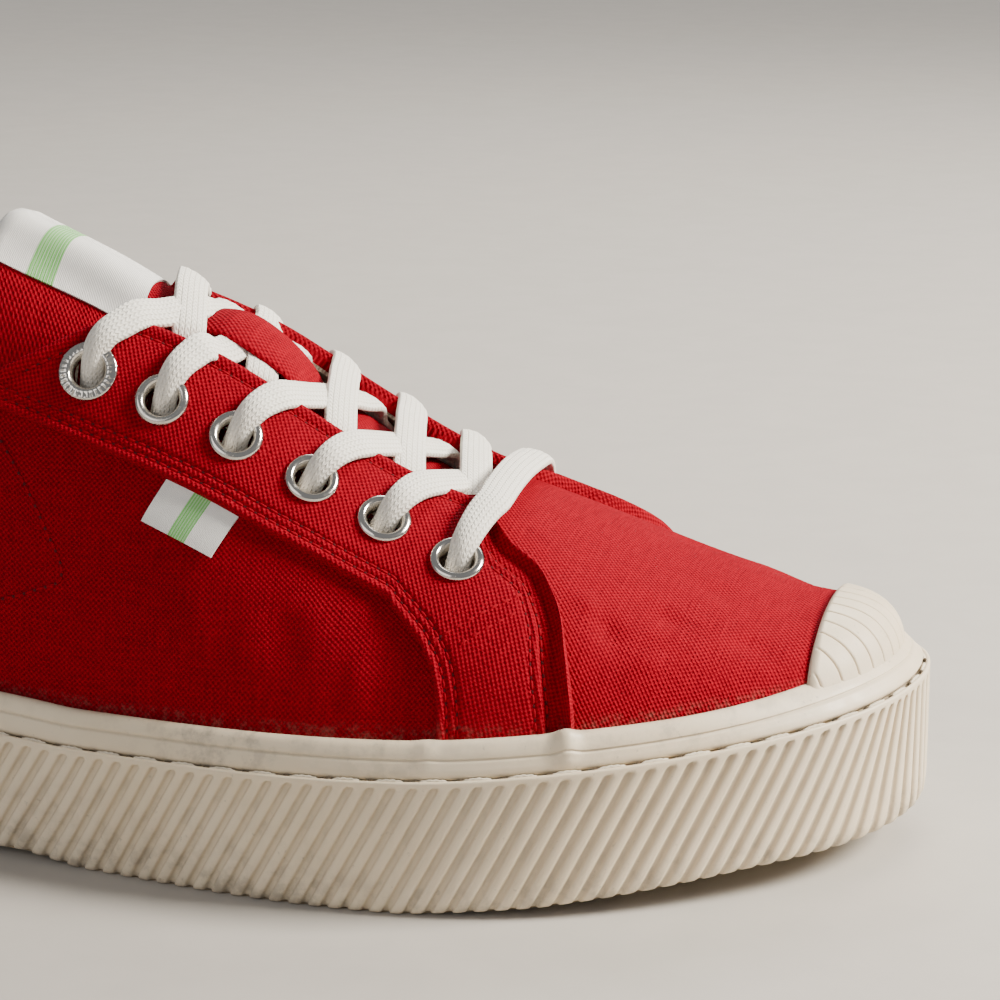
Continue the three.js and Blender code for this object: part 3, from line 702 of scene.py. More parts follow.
# One rib's pitch, from the middle of a ridge over the groove: shares of the pitch and of the groove's depth.
RIB = table(("phase", "depth"), [
    (0, 0), (0.12, 0.03), (0.22, 0.12), (0.28, 0.3), (0.32, 0.62), (0.36, 0.9), (0.42, 1), (0.5, 1),
    (0.58, 1), (0.64, 0.9), (0.68, 0.62), (0.72, 0.3), (0.78, 0.12), (0.88, 0.03),
])
# How far a rib leans from foot to top.
RIB_LEAN = 14.0
# Heights of the wall's rings: up from the foot, and down from the rim.
WALL_FROM_FOOT = np.array([0, 0.25, 0.7, 1.4, 2.6, 4.5, 7.5, 11, 14.5])
WALL_FROM_RIM = np.array([5.2, 3.9, 3.0, 2.45, 2.1, 1.85, 1.65, 1.45, 1.25, 1.0, 0.7, 0.35])
FOOT_ROUNDING = table(("above", "inset"), [
    (0, 1.7), (0.25, 1.05), (0.7, 0.55), (1.4, 0.25), (2.6, 0.08), (5, 0),
])
# A groove between ribs stops short of the rim in a round end: where, and its half-width.
GROOVE_END = 1.2
GROOVE_HALF = 0.72
# The wall's inner side: inset, and height over the tread.
WALL_INSIDE = [(6.0, 4), (5.4, 0.8), (4.7, 0.05)]


def outsole_wall(sizes):
    """Ribbed side wall with its lip, stitch channel and inner wall, as one closed band."""
    u_fine, arc = sole_arc()
    total, heel = arc[-1], np.interp(ROUND / 2, u_fine, arc)
    ribs = round(total / (sizes.rib_pitch / MM))
    pitch = total / ribs
    place = RIB["phase"]
    s = ((np.arange(ribs)[:, None] + place[None, :]) * pitch).ravel()
    phase = np.tile((place - 0.5) * pitch, ribs)
    cut_round = np.tile(RIB["depth"], ribs)
    lean = lean_of(s, total, heel)
    depth = sizes.rib_depth / MM
    low_rows = len(WALL_FROM_FOOT)
    rings, grooves = [], []
    for row in range(low_rows + len(WALL_FROM_RIM)):
        share = 0.5
        for _ in range(3):
            u = np.interp((s + lean * (share - 0.5)) % total, arc, u_fine)
            x = outline(u)[:, 0]
            high = rim(x) - sole_bottom(x)
            above = WALL_FROM_FOOT[row] if row < low_rows else high - WALL_FROM_RIM[row - low_rows]
            above = np.minimum(above + 0 * high, high - 0.3)
            share = above / high
        inset = np.interp(above, FOOT_ROUNDING["above"], FOOT_ROUNDING["inset"])
        from_end = np.clip(above - (high - GROOVE_END - GROOVE_HALF), 0, None)
        round_end = 1 - smooth(GROOVE_HALF * 0.75, GROOVE_HALF * 1.25, np.hypot(phase * 0.6, from_end))
        cut = cut_round * np.where(from_end > 0, round_end, 1)
        inset = inset + depth * cut
        p = outline(u, inset)
        rings.append(np.column_stack([p, sole_bottom(p[:, 0]) + above]))
        # painted shade in the rib grooves, as deep as the cut
        grooves.append(cut * 0.9)
    u = np.interp((s + lean * 0.5) % total, arc, u_fine)
    for inset, lift, shaded_groove in CHANNEL:
        p = outline(u, np.full(len(u), inset))
        rings.append(np.column_stack([p, rim(p[:, 0]) + lift]))
        # painted shade in the channel, from the table's darkness
        grooves.append(np.full(len(u), shaded_groove * 0.9))
    for inset, above in WALL_INSIDE:
        p = outline(u, np.full(len(u), inset))
        rings.append(np.column_stack([p, sole_bottom(p[:, 0]) + above]))
        grooves.append(np.zeros(len(u)))
    rings = np.array(rings)
    x, y, z = np.moveaxis(rings, -1, 0)
    dirt = smooth(8, 0, z - sole_bottom(x)) * 0.8
    dirt += 0.35 * smooth(60, 20, np.abs(x - 165)) * (y < 0) * smooth(24, 4, z)
    values = {"shaded_groove": grooves, "dirt": np.clip(dirt + np.array(grooves) * 0.35, 0, 1)}
    return make_piece("outsole_wall", rings, grid_quads(*rings.shape[:2], True, True), "outsole",
                      finish_of("rubber"), values=values, angle=75)


def outsole_tread():
    """Core of the cup sole: grooved tread below and footbed on top."""
    u = np.arange(480) * ROUND / 480
    edge = outline(u, 4.9)
    spine_x = np.clip((edge[:, 0] + outline(-u, 4.9)[:, 0]) / 2, 45, 255)
    spine = np.column_stack([spine_x, 0 * spine_x])
    lugs = np.array(GROOVES, float)
    rings, shaded_groove = [], []
    for reach in np.linspace(0, 1, 22):
        p = spine + reach * (edge - spine)
        wavy = p[:, 0] + 2.2 * np.abs((p[:, 1] / 9) % 2 - 1)
        from_groove = np.abs(wavy[:, None] - lugs[None, :]).min(1)
        cut = (1 - smooth(0.8, 2.2, from_groove)) * smooth(1, 0.96, reach)
        rings.append(np.column_stack([p, sole_bottom(p[:, 0]) + 1.9 * cut]))
        # painted shade in the tread's grooves, as deep as the cut
        shaded_groove.append(cut)
    for reach, height in ((1, 0.5), (1, 1), (0.5, 1), (0, 1)):
        p = spine + reach * (edge - spine)
        floor = rim(p[:, 0]) - CUP_DEPTH
        rings.append(np.column_stack([p, sole_bottom(p[:, 0]) * (1 - height) + height * floor]))
        shaded_groove.append(np.zeros(len(u)))
    rings = np.array(rings)
    values = {"shaded_groove": shaded_groove, "dirt": np.full(rings.shape[:2], 0.9)}
    return make_piece("outsole_tread", rings, grid_quads(*rings.shape[:2], False, True), "outsole",
                      finish_of("rubber"), values=values, weld=0.02)


# The sole's channel and the foot of the foxing: inset, height from the rim, darkness of the painted shade.
CHANNEL = [
    (0.05, -0.1, 0), (0.3, 0.05, 0), (0.7, 0.02, 0), (0.92, -0.2, 0.5),
    (1.05, -0.45, 1), (1.75, -0.5, 1), (3.2, -0.5, 0.6), (6.0, -0.5, 0),
]
FOXING_FOOT = [(4.2, -0.3, 0.6), (2.1, -0.3, 0.9), (1.7, -0.05, 0.6), (1.5, 0.4, 0.1), (1.38, 0.95, 0)]
# The fine line pressed in under the foxing's top: distance from its middle, depth, darkness of the painted
# shade in it.
FOXING_LINE = [(0.42, 0, 0), (0.24, 0.05, .3), (0.10, 0.30, 1), (-0.10, 0.30, 1), (-0.24, 0.02, .3),
               (-0.42, -.06, 0)]
# The foxing's rolled top: distance down from it and inset past the face; then its back, from the outline.
FOXING_ROLL = [
    (1.7, -0.08), (1.0, -0.05), (0.5, 0.05), (0.18, 0.32), (0.03, 0.75), (0.02, 1.3), (0.35, 2.1), (1.2, 2.8),
]
FOXING_BACK = [(4.0, 7.6), (6.2, 7.6)]
# The lapped end of the foxing's strip and a blister beside it, lateral side: place, half-length, height.
FOXING_LAPS = [(245.5, 1.8, 2.4), (221, 2.0, 0.7)]
# Smudges on the foxing: place, side, half-length, strength.
FOXING_SMUDGES = [
    (182, -1, 14, .9), (214, -1, 9, .5), (262, -1, 20, .45), (120, 1, 26, .5), (40, -1, 20, .5),
    (70, 1, 20, .5), (230, 1, 20, .5),
]


def foxing_lean(x):
    """Inset of the foxing's top edge, larger round the toe cap."""
    return 3.4 + 3.4 * smooth(262, 300, x)


def foxing_band():
    """Rubber band round the upper: rounded foot, fine groove line under its top, rolled top edge; painted
    shade at its foot and in the line.
    """
    columns = 720
    u = np.arange(columns) * ROUND / columns
    x = outline(u)[:, 0]
    lean, high = foxing_lean(x), foxing_top(x) - rim(x)
    lateral = smooth(-20, -40, outline(u)[:, 1])
    lap = sum(height * np.exp(-((x - at) / half) ** 2) * lateral for at, half, height in FOXING_LAPS)
    line_depth = 2.9 - 0.25 * np.sin(u * 1.7)
    rings, shaded_groove = [], []

    # dark: how much painted shade the ring carries
    def add(inset, z, dark, swell=1.0):
        p = outline(u, inset - 0.5 * lap * swell)
        rings.append(np.column_stack([p, z + 0.45 * lap * swell]))
        shaded_groove.append(np.full(columns, dark))

    def face(depth):
        return 1.3 + (lean - 1.3) * (1 - depth / high) ** 1.5

    for inset, lift, dark in FOXING_FOOT:
        add(inset + 0 * x, rim(x) + lift, dark, 0.2)
    for share in (0.35, 0.7):
        depth = line_depth + (high - 1.0 - line_depth) * (1 - share)
        add(face(depth), rim(x) + high - depth, 0, 0.6)
    for away, cut, dark in FOXING_LINE:
        depth = line_depth + away
        add(face(depth) + cut, rim(x) + high - depth, dark * 0.75, 0.8)
    for depth, extra in FOXING_ROLL:
        add(face(depth) + extra, rim(x) + high - depth, 0)
    for depth, inset in FOXING_BACK:
        add(inset + 0 * x, rim(x) + high - depth, 0, 0)
    rings = np.array(rings)
    px, py, pz = np.moveaxis(rings, -1, 0)
    dirt = 0.25 * smooth(3.5, 0.3, foxing_top(px) - pz)
    for at, side, wide, amount in FOXING_SMUDGES:
        dirt += amount * np.exp(-((px - at) / wide) ** 2) * (py * side > 0)
    values = {"shaded_groove": shaded_groove, "dirt": np.clip(dirt, 0, 1)}
    return make_piece("foxing_band", rings, grid_quads(*rings.shape[:2], True, True), "foxing",
                      finish_of("rubber"), values=values, angle=80)


def sole_thread(arc, u_fine, count):
    """Points of the twisted thread's stitches, and the quads of one."""
    steps, sides = 15, 8
    total = arc[-1]
    t = np.linspace(0, 1, steps)
    angle = np.arange(sides) * TURN / sides
    up = np.array([0, 0, 1.0])
    points = []
    for k in range(count):
        s = (k + 0.16 + 0.72 * t) * total / count
        u = np.interp(s % total, arc, u_fine)
        place = outline(u, np.full(steps, 1.12))
        z = rim(place[:, 0]) - 0.62 + 0.62 * np.sin(np.pi * t) ** 0.4
        centre = np.column_stack([place, z])
        outward = np.column_stack([outline(u, np.full(steps, 0.12)) - place, np.zeros(steps)])
        twist = s * TURN / 2.6
        for i in range(steps):
            tip = 0.3 if i in (0, steps - 1) else 1
            radius = 0.31 * (1 + 0.28 * np.cos(2 * (angle - twist[i]))) * tip
            round_it = np.cos(angle)[:, None] * outward[i] + np.sin(angle)[:, None] * up
            points.append(centre[i] + radius[:, None] * round_it)
    quads = grid_quads(steps, sides, False, True).reshape(-1, 4)
    ends = cap_quads(sides)
    quads = np.concatenate([quads, ends, ends[:, ::-1] + (steps - 1) * sides])
    return np.array(points).reshape(count, steps * sides, 3), quads


def copies(points, quads):
    """One set of quads for many copies of a small shape."""
    starts = np.arange(len(points)) * points.shape[1]
    return (starts[:, None, None] + quads[None]).reshape(-1, 4)


def sole_stitching(sizes):
    """Twisted thread lying in the sole's channel, and dark grains of painted shade for the holes that it dips
    into.
    """
    u_fine, arc = sole_arc()
    count = round(arc[-1] / (sizes.sole_stitch / MM))
    points, quads = sole_thread(arc, u_fine, count)
    make_piece("sole_thread", points, copies(points, quads), None, finish_of("thread_cream"))
    # the holes are dark grains of painted shade
    ball, quads = grain(0.75, 0.42, 0.42, HOLE_RINGS, 8)
    u = np.interp((np.arange(count) + 0.93) * arc[-1] / count % arc[-1], arc, u_fine)
    along = outline(u + 0.01) - outline(u - 0.01)
    along /= np.linalg.norm(along, axis=1, keepdims=True)
    level = np.zeros(count)
    turn = np.stack([np.column_stack([along, level]), np.column_stack([-along[:, 1], along[:, 0], level]),
                     np.column_stack([level, level, level + 1])], axis=1)
    hole = outline(u, np.ones(count))
    centre = np.column_stack([hole, rim(hole[:, 0]) - 0.16])
    points = ball[None] @ turn + centre[:, None, :]
    make_piece("stitch_hole_shades", points, copies(points, quads), None, finish_of("hole"))


# Rings of a small rounded grain: place along it and share of its width.
_polar = np.linspace(0.12, np.pi - 0.12, 5)
HOLE_RINGS = list(zip(np.cos(_polar), np.sin(_polar)))
STITCH_RINGS = [(-1, .25), (-.72, .8), (-.25, 1), (.25, 1), (.72, .8), (1, .25)]


def grain(long, wide, tall, rings, sides):
    """Small closed rounded grain, as points and quads."""
    angle = np.arange(sides) * TURN / sides
    points = np.array([[long * r, wide * k * np.cos(a), tall * k * np.sin(a)]
                       for r, k in rings for a in angle])
    quads = grid_quads(len(rings), sides, False, True).reshape(-1, 4)
    caps = cap_quads(sides)
    return points, np.concatenate([quads, caps, caps[:, ::-1] + (len(rings) - 1) * sides])


# One groove of the toe cap across its pitch, in shares, closest where the groove is.
CAP_PHASES = np.array([0, 0.22, 0.36, 0.43, 0.465, 0.5, 0.535, 0.57, 0.64, 0.78])


def cap_place():
    """Finder of the last's station and angle over a plan place ahead of the toe pole."""
    pole = form(np.array(0.0), np.array(TOP))
    u_round = np.concatenate([np.linspace(ROUND - 2.0, ROUND, 200)[:-1],
                              np.linspace(ROUND, ROUND + 2.0, 200)])
    foot = outline(u_round, FEATHER)
    theta = np.arctan2(foot[:, 1] - pole[1], foot[:, 0] - pole[0])
    order = np.argsort(theta)

    def place(x, y):
        u = np.interp(np.arctan2(y - pole[1], x - pole[0]), theta[order], u_round[order])
        edge = outline(u, FEATHER)
        reach = np.hypot(x - pole[0], y - pole[1]) / np.hypot(edge[..., 0] - pole[0], edge[..., 1] - pole[1])
        return u, np.arccos(np.clip(reach, 0, 1))
    return place


def toe_cap_piece(sizes):
    """Rubber toe cap with lengthwise grooves, from its rear edge down into the foxing."""
    grooves = sizes.cap_grooves
    place = cap_place()
    probe = np.linspace(-30, 40, 1400)
    u, angle = place(np.full(probe.shape, CAP_BACK), probe)
    seen = form(u, angle)[:, 2] > foxing_top(outline(u)[:, 0]) - 2.2
    low_y, high_y = probe[seen][0], probe[seen][-1]
    shares = np.append((np.arange(grooves)[:, None] + CAP_PHASES[None, :]).ravel(), grooves)
    y = low_y + (high_y - low_y) * shares / grooves
    reach_x = np.linspace(CAP_BACK, 300, 500)
    u, angle = place(*np.meshgrid(reach_x, y))
    sunk = form(u, angle)[..., 2] < foxing_top(outline(u)[..., 0]) - 2.0
    sunk |= angle <= 0
    front = np.array([reach_x[max(np.argmax(row), 1)] if row.any() else reach_x[-1] for row in sunk])
    t = np.concatenate([[0, 0.006, 0.02, 0.045], np.linspace(0.08, 1, 42)])
    x = CAP_BACK + t[:, None] * (front[None, :] - CAP_BACK)
    u, angle = place(x, np.broadcast_to(y, x.shape))
    from_groove = np.abs(shares % 1 - 0.5) * (high_y - low_y) / grooves
    cut = (1 - smooth(0.05, 0.2, from_groove))[None, :] * smooth(0.1, 0.8, x - CAP_BACK)
    thick = 1.75 * np.sqrt(smooth(-0.5, 0.9, x - CAP_BACK)) - 0.38 * cut
    outer = off_form(u, angle, thick)
    outer[..., 0] = np.maximum(outer[..., 0], CAP_BACK - 0.2)
    inner = off_form(u, angle, 0.05)
    # painted shade in the outer face's grooves, from the cut depth
    return make_sheet("toe_cap_shell", outer, inner, "toe_cap", "rubber", finish_of("rubber"),
                      values={"shaded_groove": (cut * 1.3, 0 * cut), "dirt": np.full(x.shape, 0.12)}, angle=70)


# ---- The upper ----
def is_open(points):
    """True where a point of the last lies in the collar's or the throat's opening."""
    x, y, z = np.moveaxis(points, -1, 0)
    over = (x < COLLAR_FRONT) & (z > look_up(COLLAR, x, "z"))
    half = look_up(THROAT, x, "half")
    tip = np.clip((x - THROAT_ROUND) / (THROAT_TIP - THROAT_ROUND), 0, 1)
    half = half * np.sqrt(1 - tip * tip)
    return over | ((x >= THROAT_BACK) & (x < THROAT_TIP) & (np.abs(y - shift(x)) < half))


def split(angle):
    """Station of the hidden join between vamp and quarters."""
    return SPLIT_LOW + (SPLIT_HIGH - SPLIT_LOW) * (angle / TOP) ** 1.5


def vamp_path(c, angle):
    """Station of the vamp's columns, -1 at the medial join to 1 at the lateral one."""
    return c * split(angle)


def quarter_path(c, angle):
    """Station of the lateral quarter's columns, 0 at the join to 1 at the heel."""
    return split(angle) + c * (ROUND / 2 - split(angle))


def medial_path(c, angle):
    """Station of the medial quarter's columns."""
    return ROUND - quarter_path(c, angle)


def whole_path(c, angle):
    """Columns that are stations themselves."""
    return c + 0 * angle


def edge_angle(path, c):
    """Rise angle at which each column meets the opening, or a quarter turn where it never does."""
    angles = np.linspace(0.05, TOP, 260)
    hit = is_open(form(path(c[:, None], angles[None, :]), np.broadcast_to(angles, (len(c), len(angles)))))
    first = np.argmax(hit, axis=1)
    low, high = angles[np.maximum(first - 1, 0)], angles[first]
    for _ in range(18):
        middle = (low + high) / 2
        inside = is_open(form(path(c, middle), middle))
        high = np.where(inside, middle, high)
        low = np.where(inside, low, middle)
    return np.where(hit.any(axis=1), high, TOP)


def columns_of(path, c, rows, top=None):
    """Even rows up each column: stations, angles and the distance up from the feather."""
    top = edge_angle(path, c) if top is None else top
    dense = top[:, None] * np.linspace(0, 1, 90)[None, :] ** 1.25
    points = form(path(c[:, None], dense), dense)
    arc = along_path(np.swapaxes(points, 0, 1)).T
    wanted = arc[:, -1:] * np.linspace(0, 1, rows)[None, :]
    angle = np.array([np.interp(w, a, d) for w, a, d in zip(wanted, arc, dense)])
    return path(c[:, None], angle), angle, wanted


def eyelet_spots():
    """Station, angle and side of all twelve eyelets, from the top pair down."""
    return [(i, side, *locate(x, side * across))
            for i, (x, across) in enumerate(zip(EYELETS["x"], EYELETS["across"])) for side in (-1, 1)]


def clear_of_eyelets(points, radius):
    """Mask of the quads that stay when holes are punched for the eyelets."""
    centres = (points[1:, 1:] + points[:-1, 1:] + points[1:, :-1] + points[:-1, :-1]) / 4
    keep = np.ones(centres.shape[:2], bool)
    for _, _, u, angle in eyelet_spots():
        keep &= np.linalg.norm(centres - form(u, angle), axis=-1) > radius
    return keep


def with_skirt(points, u, inset, drop):
    """Adds a row below the feather, straight down inside the sole."""
    low = outline(u[:, 0], FEATHER + inset)
    row = np.column_stack([low, points[:, 0, 2] - drop])
    return np.concatenate([row[:, None, :], points], axis=1)


def panel(name, path, c, rows, cloth_of, weld=0.0):
    """A canvas panel with its thickness, from the sole up to the opening."""
    u, angle, up = columns_of(path, c, rows)
    outer = with_skirt(off_form(u, angle, 0.0), u, 0.0, SKIRT)
    inner = with_skirt(off_form(u, angle, -CANVAS_WALL), u, CANVAS_WALL, SKIRT)
    cloth = cloth_of(u, angle, up, outer[:, 1:])
    cloth = np.concatenate([cloth[:, :1] - (0, SKIRT), cloth], axis=1)
    lift = np.concatenate([np.zeros((len(c), 1)), up], axis=1)
    return make_sheet(name, outer, inner, "upper", "canvas", finish_of("canvas"), cloth,
                      {"dust": smooth(9.4, 7.2, lift)}, clear_of_eyelets(outer, EYELET_HOLE), weld)


def side_cloth(u, angle, up, points):
    """Cloth coordinates of a quarter: round the sole and up from it."""
    u_fine, arc = sole_arc()
    return np.stack([np.interp(u % ROUND, u_fine, arc), up], -1)


def unrolled(points, normal, grain):
    """Cloth coordinates of a grid of points, laid flat from its first line, with the grain's direction."""
    grain = np.array(grain) / np.linalg.norm(grain)

    def laid(steps, normals):
        along = grain - normals * (normals @ grain)[..., None]
        along /= np.linalg.norm(along, axis=-1, keepdims=True)
        weft = np.cross(normals, along)
        flat = np.stack([(steps * along).sum(-1), (steps * weft).sum(-1)], -1)
        length = np.linalg.norm(steps, axis=-1) / np.maximum(np.linalg.norm(flat, axis=-1), 1e-6)
        return flat * np.clip(length, 1, 6)[..., None]

    first = laid(np.diff(points[:, 0], axis=0), (normal[1:, 0] + normal[:-1, 0]) / 2)
    start = np.concatenate([np.zeros((1, 2)), np.cumsum(first, axis=0)])
    rest = laid(np.diff(points, axis=1), (normal[:, 1:] + normal[:, :-1]) / 2)
    return np.concatenate([start[:, None], start[:, None] + np.cumsum(rest, axis=1)], axis=1)


def vamp_cloth(u, angle, up, points):
    """Cloth coordinates of the vamp, laid out from its ridge."""
    ridge_down = unrolled(points[:, ::-1], form_normal(u, angle)[:, ::-1], (1.0, 0.0, -0.25))
    return ridge_down[:, ::-1]


# Rows of the facings: distances in from the lower and from the upper edge, close where seams and rolls are.
FACING_ROWS_LOW = np.array([
    0, .08, .2, .4, .7, 1.1, 1.5, 1.8, 2.0, 2.2, 2.4, 2.7, 3.2, 3.7, 4.0, 4.2, 4.4, 4.7, 5.2,
])
FACING_ROWS_HIGH = np.array([
    0, .07, .18, .35, .6, .9, 1.25, 1.6, 2.0, 2.4, 2.7, 3.0, 3.25, 3.5, 3.8, 4.2, 4.6, 4.8, 5.0, 5.2,
    5.5, 5.8, 6.1, 6.5, 6.9, 7.1, 7.3, 7.6, 8.2,
])
# Seams of the facings: distances in from the lower edge, then from the throat's and the leg's front edge.
SEAM_1 = 2.2
SEAM_2 = 4.2
THROAT_SEAM = 3.25
BAND_SEAM = 4.8
LEG_SEAM = 7.1
# Direction of the facings' warp.
FACING_GRAIN = (0.87, 0.0, -0.5)


def facing_edges():
    """Shares along the facing, and station and reach along its lower and upper edge."""
    s = np.linspace(0, 1, 320)
    lower = np.column_stack([look_up(FACING_LOW, s, key) for key in ("station", "reach")])
    edge_u = look_up(FACING_TOP, s[s <= FACING_CORNER], "station")
    over = ridge_x(edge_u)
    across = np.linalg.norm(outline(edge_u, FEATHER) - np.stack([over, shift(over)], -1), axis=1)
    reach = look_up(THROAT, over, "half") / across
    past_collar = np.cos(edge_angle(whole_path, edge_u))
    reach = np.where(over < COLLAR_FRONT + 1, np.maximum(reach, past_collar), reach)
    edge = np.column_stack([edge_u, reach])
    front = {key: np.insert(FACING_FRONT[key], 0, first)
             for key, first in zip(("x", "station", "reach"), (FACING_CORNER, *edge[-1]))}
    rest = np.column_stack([look_up(front, s[s > FACING_CORNER], key) for key in ("station", "reach")])
    return s, lower, np.concatenate([edge, rest])


def facing_grid(side):
    """Stations and angles of the facing as a grid, lower edge to upper edge, and the distances to both."""
    s, lower, upper = facing_edges()
    a_low, a_high = np.arccos(np.clip(lower[:, 1], 0, 1)), np.arccos(np.clip(upper[:, 1], 0, 1))
    t = np.linspace(0, 1, 140)
    u = lower[:, :1] + t[None, :] * (upper[:, :1] - lower[:, :1])
    angle = a_low[:, None] + t[None, :] * (a_high - a_low)[:, None]
    arc = along_path(np.swapaxes(form(u, angle), 0, 1)).T
    width = arc[:, -1:]
    middle = np.linspace(0, 1, 20)[None, 1:-1]
    near, far = FACING_ROWS_LOW[None, :] + 0 * width, width - FACING_ROWS_HIGH[None, ::-1]
    wanted = np.concatenate([near, near[:, -1:] + middle * (far[:, :1] - near[:, -1:]), far], axis=1)
    u = np.array([np.interp(w, a, v) for w, a, v in zip(wanted, arc, u)])
    angle = np.array([np.interp(w, a, v) for w, a, v in zip(wanted, arc, angle)])
    if side > 0:
        u = ROUND - u
    return s, u, angle, wanted, width - wanted


def sewn(distance, at, wide=0.42):
    """Dent of a seam at a distance from an edge."""
    return np.exp(-((distance - at) / wide) ** 2)


def facing_piece(side):
    """Facing with its leg: rolled edges, raised front ridge and the sewn-down trough behind it."""
    s, u, angle, from_low, from_high = facing_grid(side)
    frontal = smooth(FACING_CORNER - 0.01, FACING_CORNER + 0.05, s)[:, None]
    body = 1.45 + 0.3 * sewn(from_low, 1.0, 0.9) - 0.38 * (sewn(from_low, SEAM_1) + sewn(from_low, SEAM_2))
    throat = body + 0.55 * sewn(from_high, 1.2, 1.1) - 0.35 * sewn(from_high, THROAT_SEAM)
    leg = 0.3 + 2.1 * sewn(from_high, 0.95, 0.8) + (body - 0.3) * smooth(5.0, 5.8, from_high)
    leg = leg - 0.3 * sewn(from_high, LEG_SEAM) - 0.3 * sewn(from_high, BAND_SEAM, 0.5)
    level = (1 - frontal) * throat + frontal * np.minimum(leg, body + 1.2)
    rolled = np.sqrt(smooth(-0.08, 0.55, from_low)) * np.sqrt(smooth(-0.06, 0.5, from_high))
    outer = off_form(u, angle, level * rolled + 0.05)
    inner = off_form(u, angle, 0.02)
    behind = (1 - frontal) * form_normal(u[:, -1], angle[:, -1])
    inner[:, -1] -= behind * 1.6
    outer[:, -1] -= behind * 0.5
    wear = 0.9 * sewn(from_high, 0.9, 0.8) * (0.4 + 0.6 * frontal) + 0.7 * sewn(from_low, 0.5, 0.6)
    dust = smooth(9.4, 7.2, form(u, angle)[..., 2] - 26) * 0.6
    name = "facing_lateral" if side < 0 else "facing_medial"
    return make_sheet(name + "_cloth", outer, inner, name, "canvas", finish_of("canvas"),
                      unrolled(outer, form_normal(u, angle), FACING_GRAIN),
                      {"wear": (wear, 0 * wear), "dust": dust}, clear_of_eyelets(form(u, angle), FACING_HOLE))


# Station where the collar's band starts, just under the facing's rear end.
BAND_START = 5.52
# Seams of the collar's band, down from its edge, and of the heel stay, from its middle.
BAND_SEAMS = [2.0, 6.4]
STAY_SEAMS = (-9.4, -7.4, 7.4, 9.4)
# Section of the collar's band: distance below the edge, and height off the last.
BAND_SECTION = [
    (8.2, .03), (8.0, .55), (7.4, .95), (6.6, 1.0), (5.4, .92), (4, .95), (2.6, .95), (1.6, 1.0),
    (.7, .95), (.1, .6), (-.25, 0), (-.4, -.9), (-.25, -1.8), (.2, -2.5), (.9, -2.8), (2.4, -2.8),
    (4, -2.8), (6.6, -2.75), (7.2, -2.2), (7.2, -.5),
]


def collar_columns(rows_below):
    """Stations round the collar between the facings' ends, and angles at distances below its edge."""
    c = np.linspace(BAND_START, ROUND - BAND_START, 420)
    top = edge_angle(whole_path, c)
    dense = (top[:, None] + 0.12) * np.linspace(0, 1, 160)[None, :]
    arc = along_path(np.swapaxes(form(c[:, None] + 0 * dense, dense), 0, 1)).T
    at_top = np.array([np.interp(t, d, a) for t, d, a in zip(top, dense, arc)])
    angle = np.array([np.interp(t - np.array(rows_below), a, d) for t, a, d in zip(at_top, arc, dense)])
    return c, angle


def collar_band():
    """Folded band round the collar, outside and in, that goes on from the facings."""
    below, off = np.array(BAND_SECTION).T
    c, angle = collar_columns(below)
    u = np.broadcast_to(c[:, None], angle.shape)
    points = off_form(u, angle, off[None, :])
    arc = along_path(form(c, angle[:, 4]))
    cloth = np.stack([np.broadcast_to(arc[:, None], angle.shape),
                      np.broadcast_to(along_path(np.array(BAND_SECTION)), angle.shape)], -1)
    wear = np.broadcast_to(np.exp(-(below / 0.8) ** 2) * 0.8, angle.shape)
    caps = cap_quads(len(below))
    end = (len(c) - 1) * len(below)
    faces = [grid_quads(*angle.shape, False, True).reshape(-1, 4), caps, caps[:, ::-1] + end]
    return make_piece("collar_band", points, np.concatenate(faces), "upper", finish_of("canvas"),
                      uv=cloth, values={"wear": wear})


def heel_stay():
    """Narrow strip sewn over the seam at the back of the heel."""
    half, foot = 11.0, 4
    c = np.linspace(-1, 1, 41)
    u_fine, arc = sole_arc()
    heel = np.interp(ROUND / 2, u_fine, arc)
    base = np.interp(heel + c * half, arc, u_fine)
    top = edge_angle(whole_path, base)
    u, angle, up = columns_of(whole_path, base, 60, top * 0.985)
    across = half - np.abs(c * half)
    level = 0.95 * np.sqrt(smooth(-0.1, 0.7, across))[:, None] + 0.05
    outer = with_skirt(off_form(u, angle, level), u, -0.9, foot)
    inner = with_skirt(off_form(u, angle, 0.02), u, 0, foot)
    lift = np.concatenate([up[:, :1] - foot, up], 1)
    cloth = np.stack([np.broadcast_to((c * half)[:, None], lift.shape), lift], -1)
    wear = np.broadcast_to(0.7 * np.exp(-(across / 0.8) ** 2)[:, None], lift.shape)
    return make_sheet("heel_stay", outer, inner, "upper", "canvas", finish_of("canvas"), cloth,
                      {"wear": wear, "dust": smooth(14, 7, lift)})


def lining_piece():
    """Undyed cotton lining inside the whole upper, open at the collar and throat."""
    c = np.linspace(0, ROUND, 361)
    u, angle, up = columns_of(whole_path, c, 50)
    faces = []
    for offset in LINING_FACES:
        low = outline(u[:, 0], FEATHER - offset)
        foot = np.column_stack([low, rim(low[:, 0]) - CUP_DEPTH + INSOLE - 1])
        faces.append(np.concatenate([foot[:, None, :], off_form(u, angle, offset)], axis=1))
    lift = np.concatenate([up[:, :1] - 8, up], 1)
    cloth = np.stack([np.broadcast_to(np.interp(c % ROUND, *sole_arc())[:, None], lift.shape), lift], -1)
    return make_sheet("lining", *faces, "upper", "canvas", finish_of("lining"), cloth,
                      keep=clear_of_eyelets(faces[0], EYELET_HOLE), weld=0.05)


# Half of the tongue's thickness, its half-width along the ridge, and where it ends under the vamp.
TONGUE_HALF = 1.7
TONGUE = table(("x", "half"), [(110, 33), (135, 32), (160, 28), (190, 24), (232, 19)])
TONGUE_FRONT = 231.5


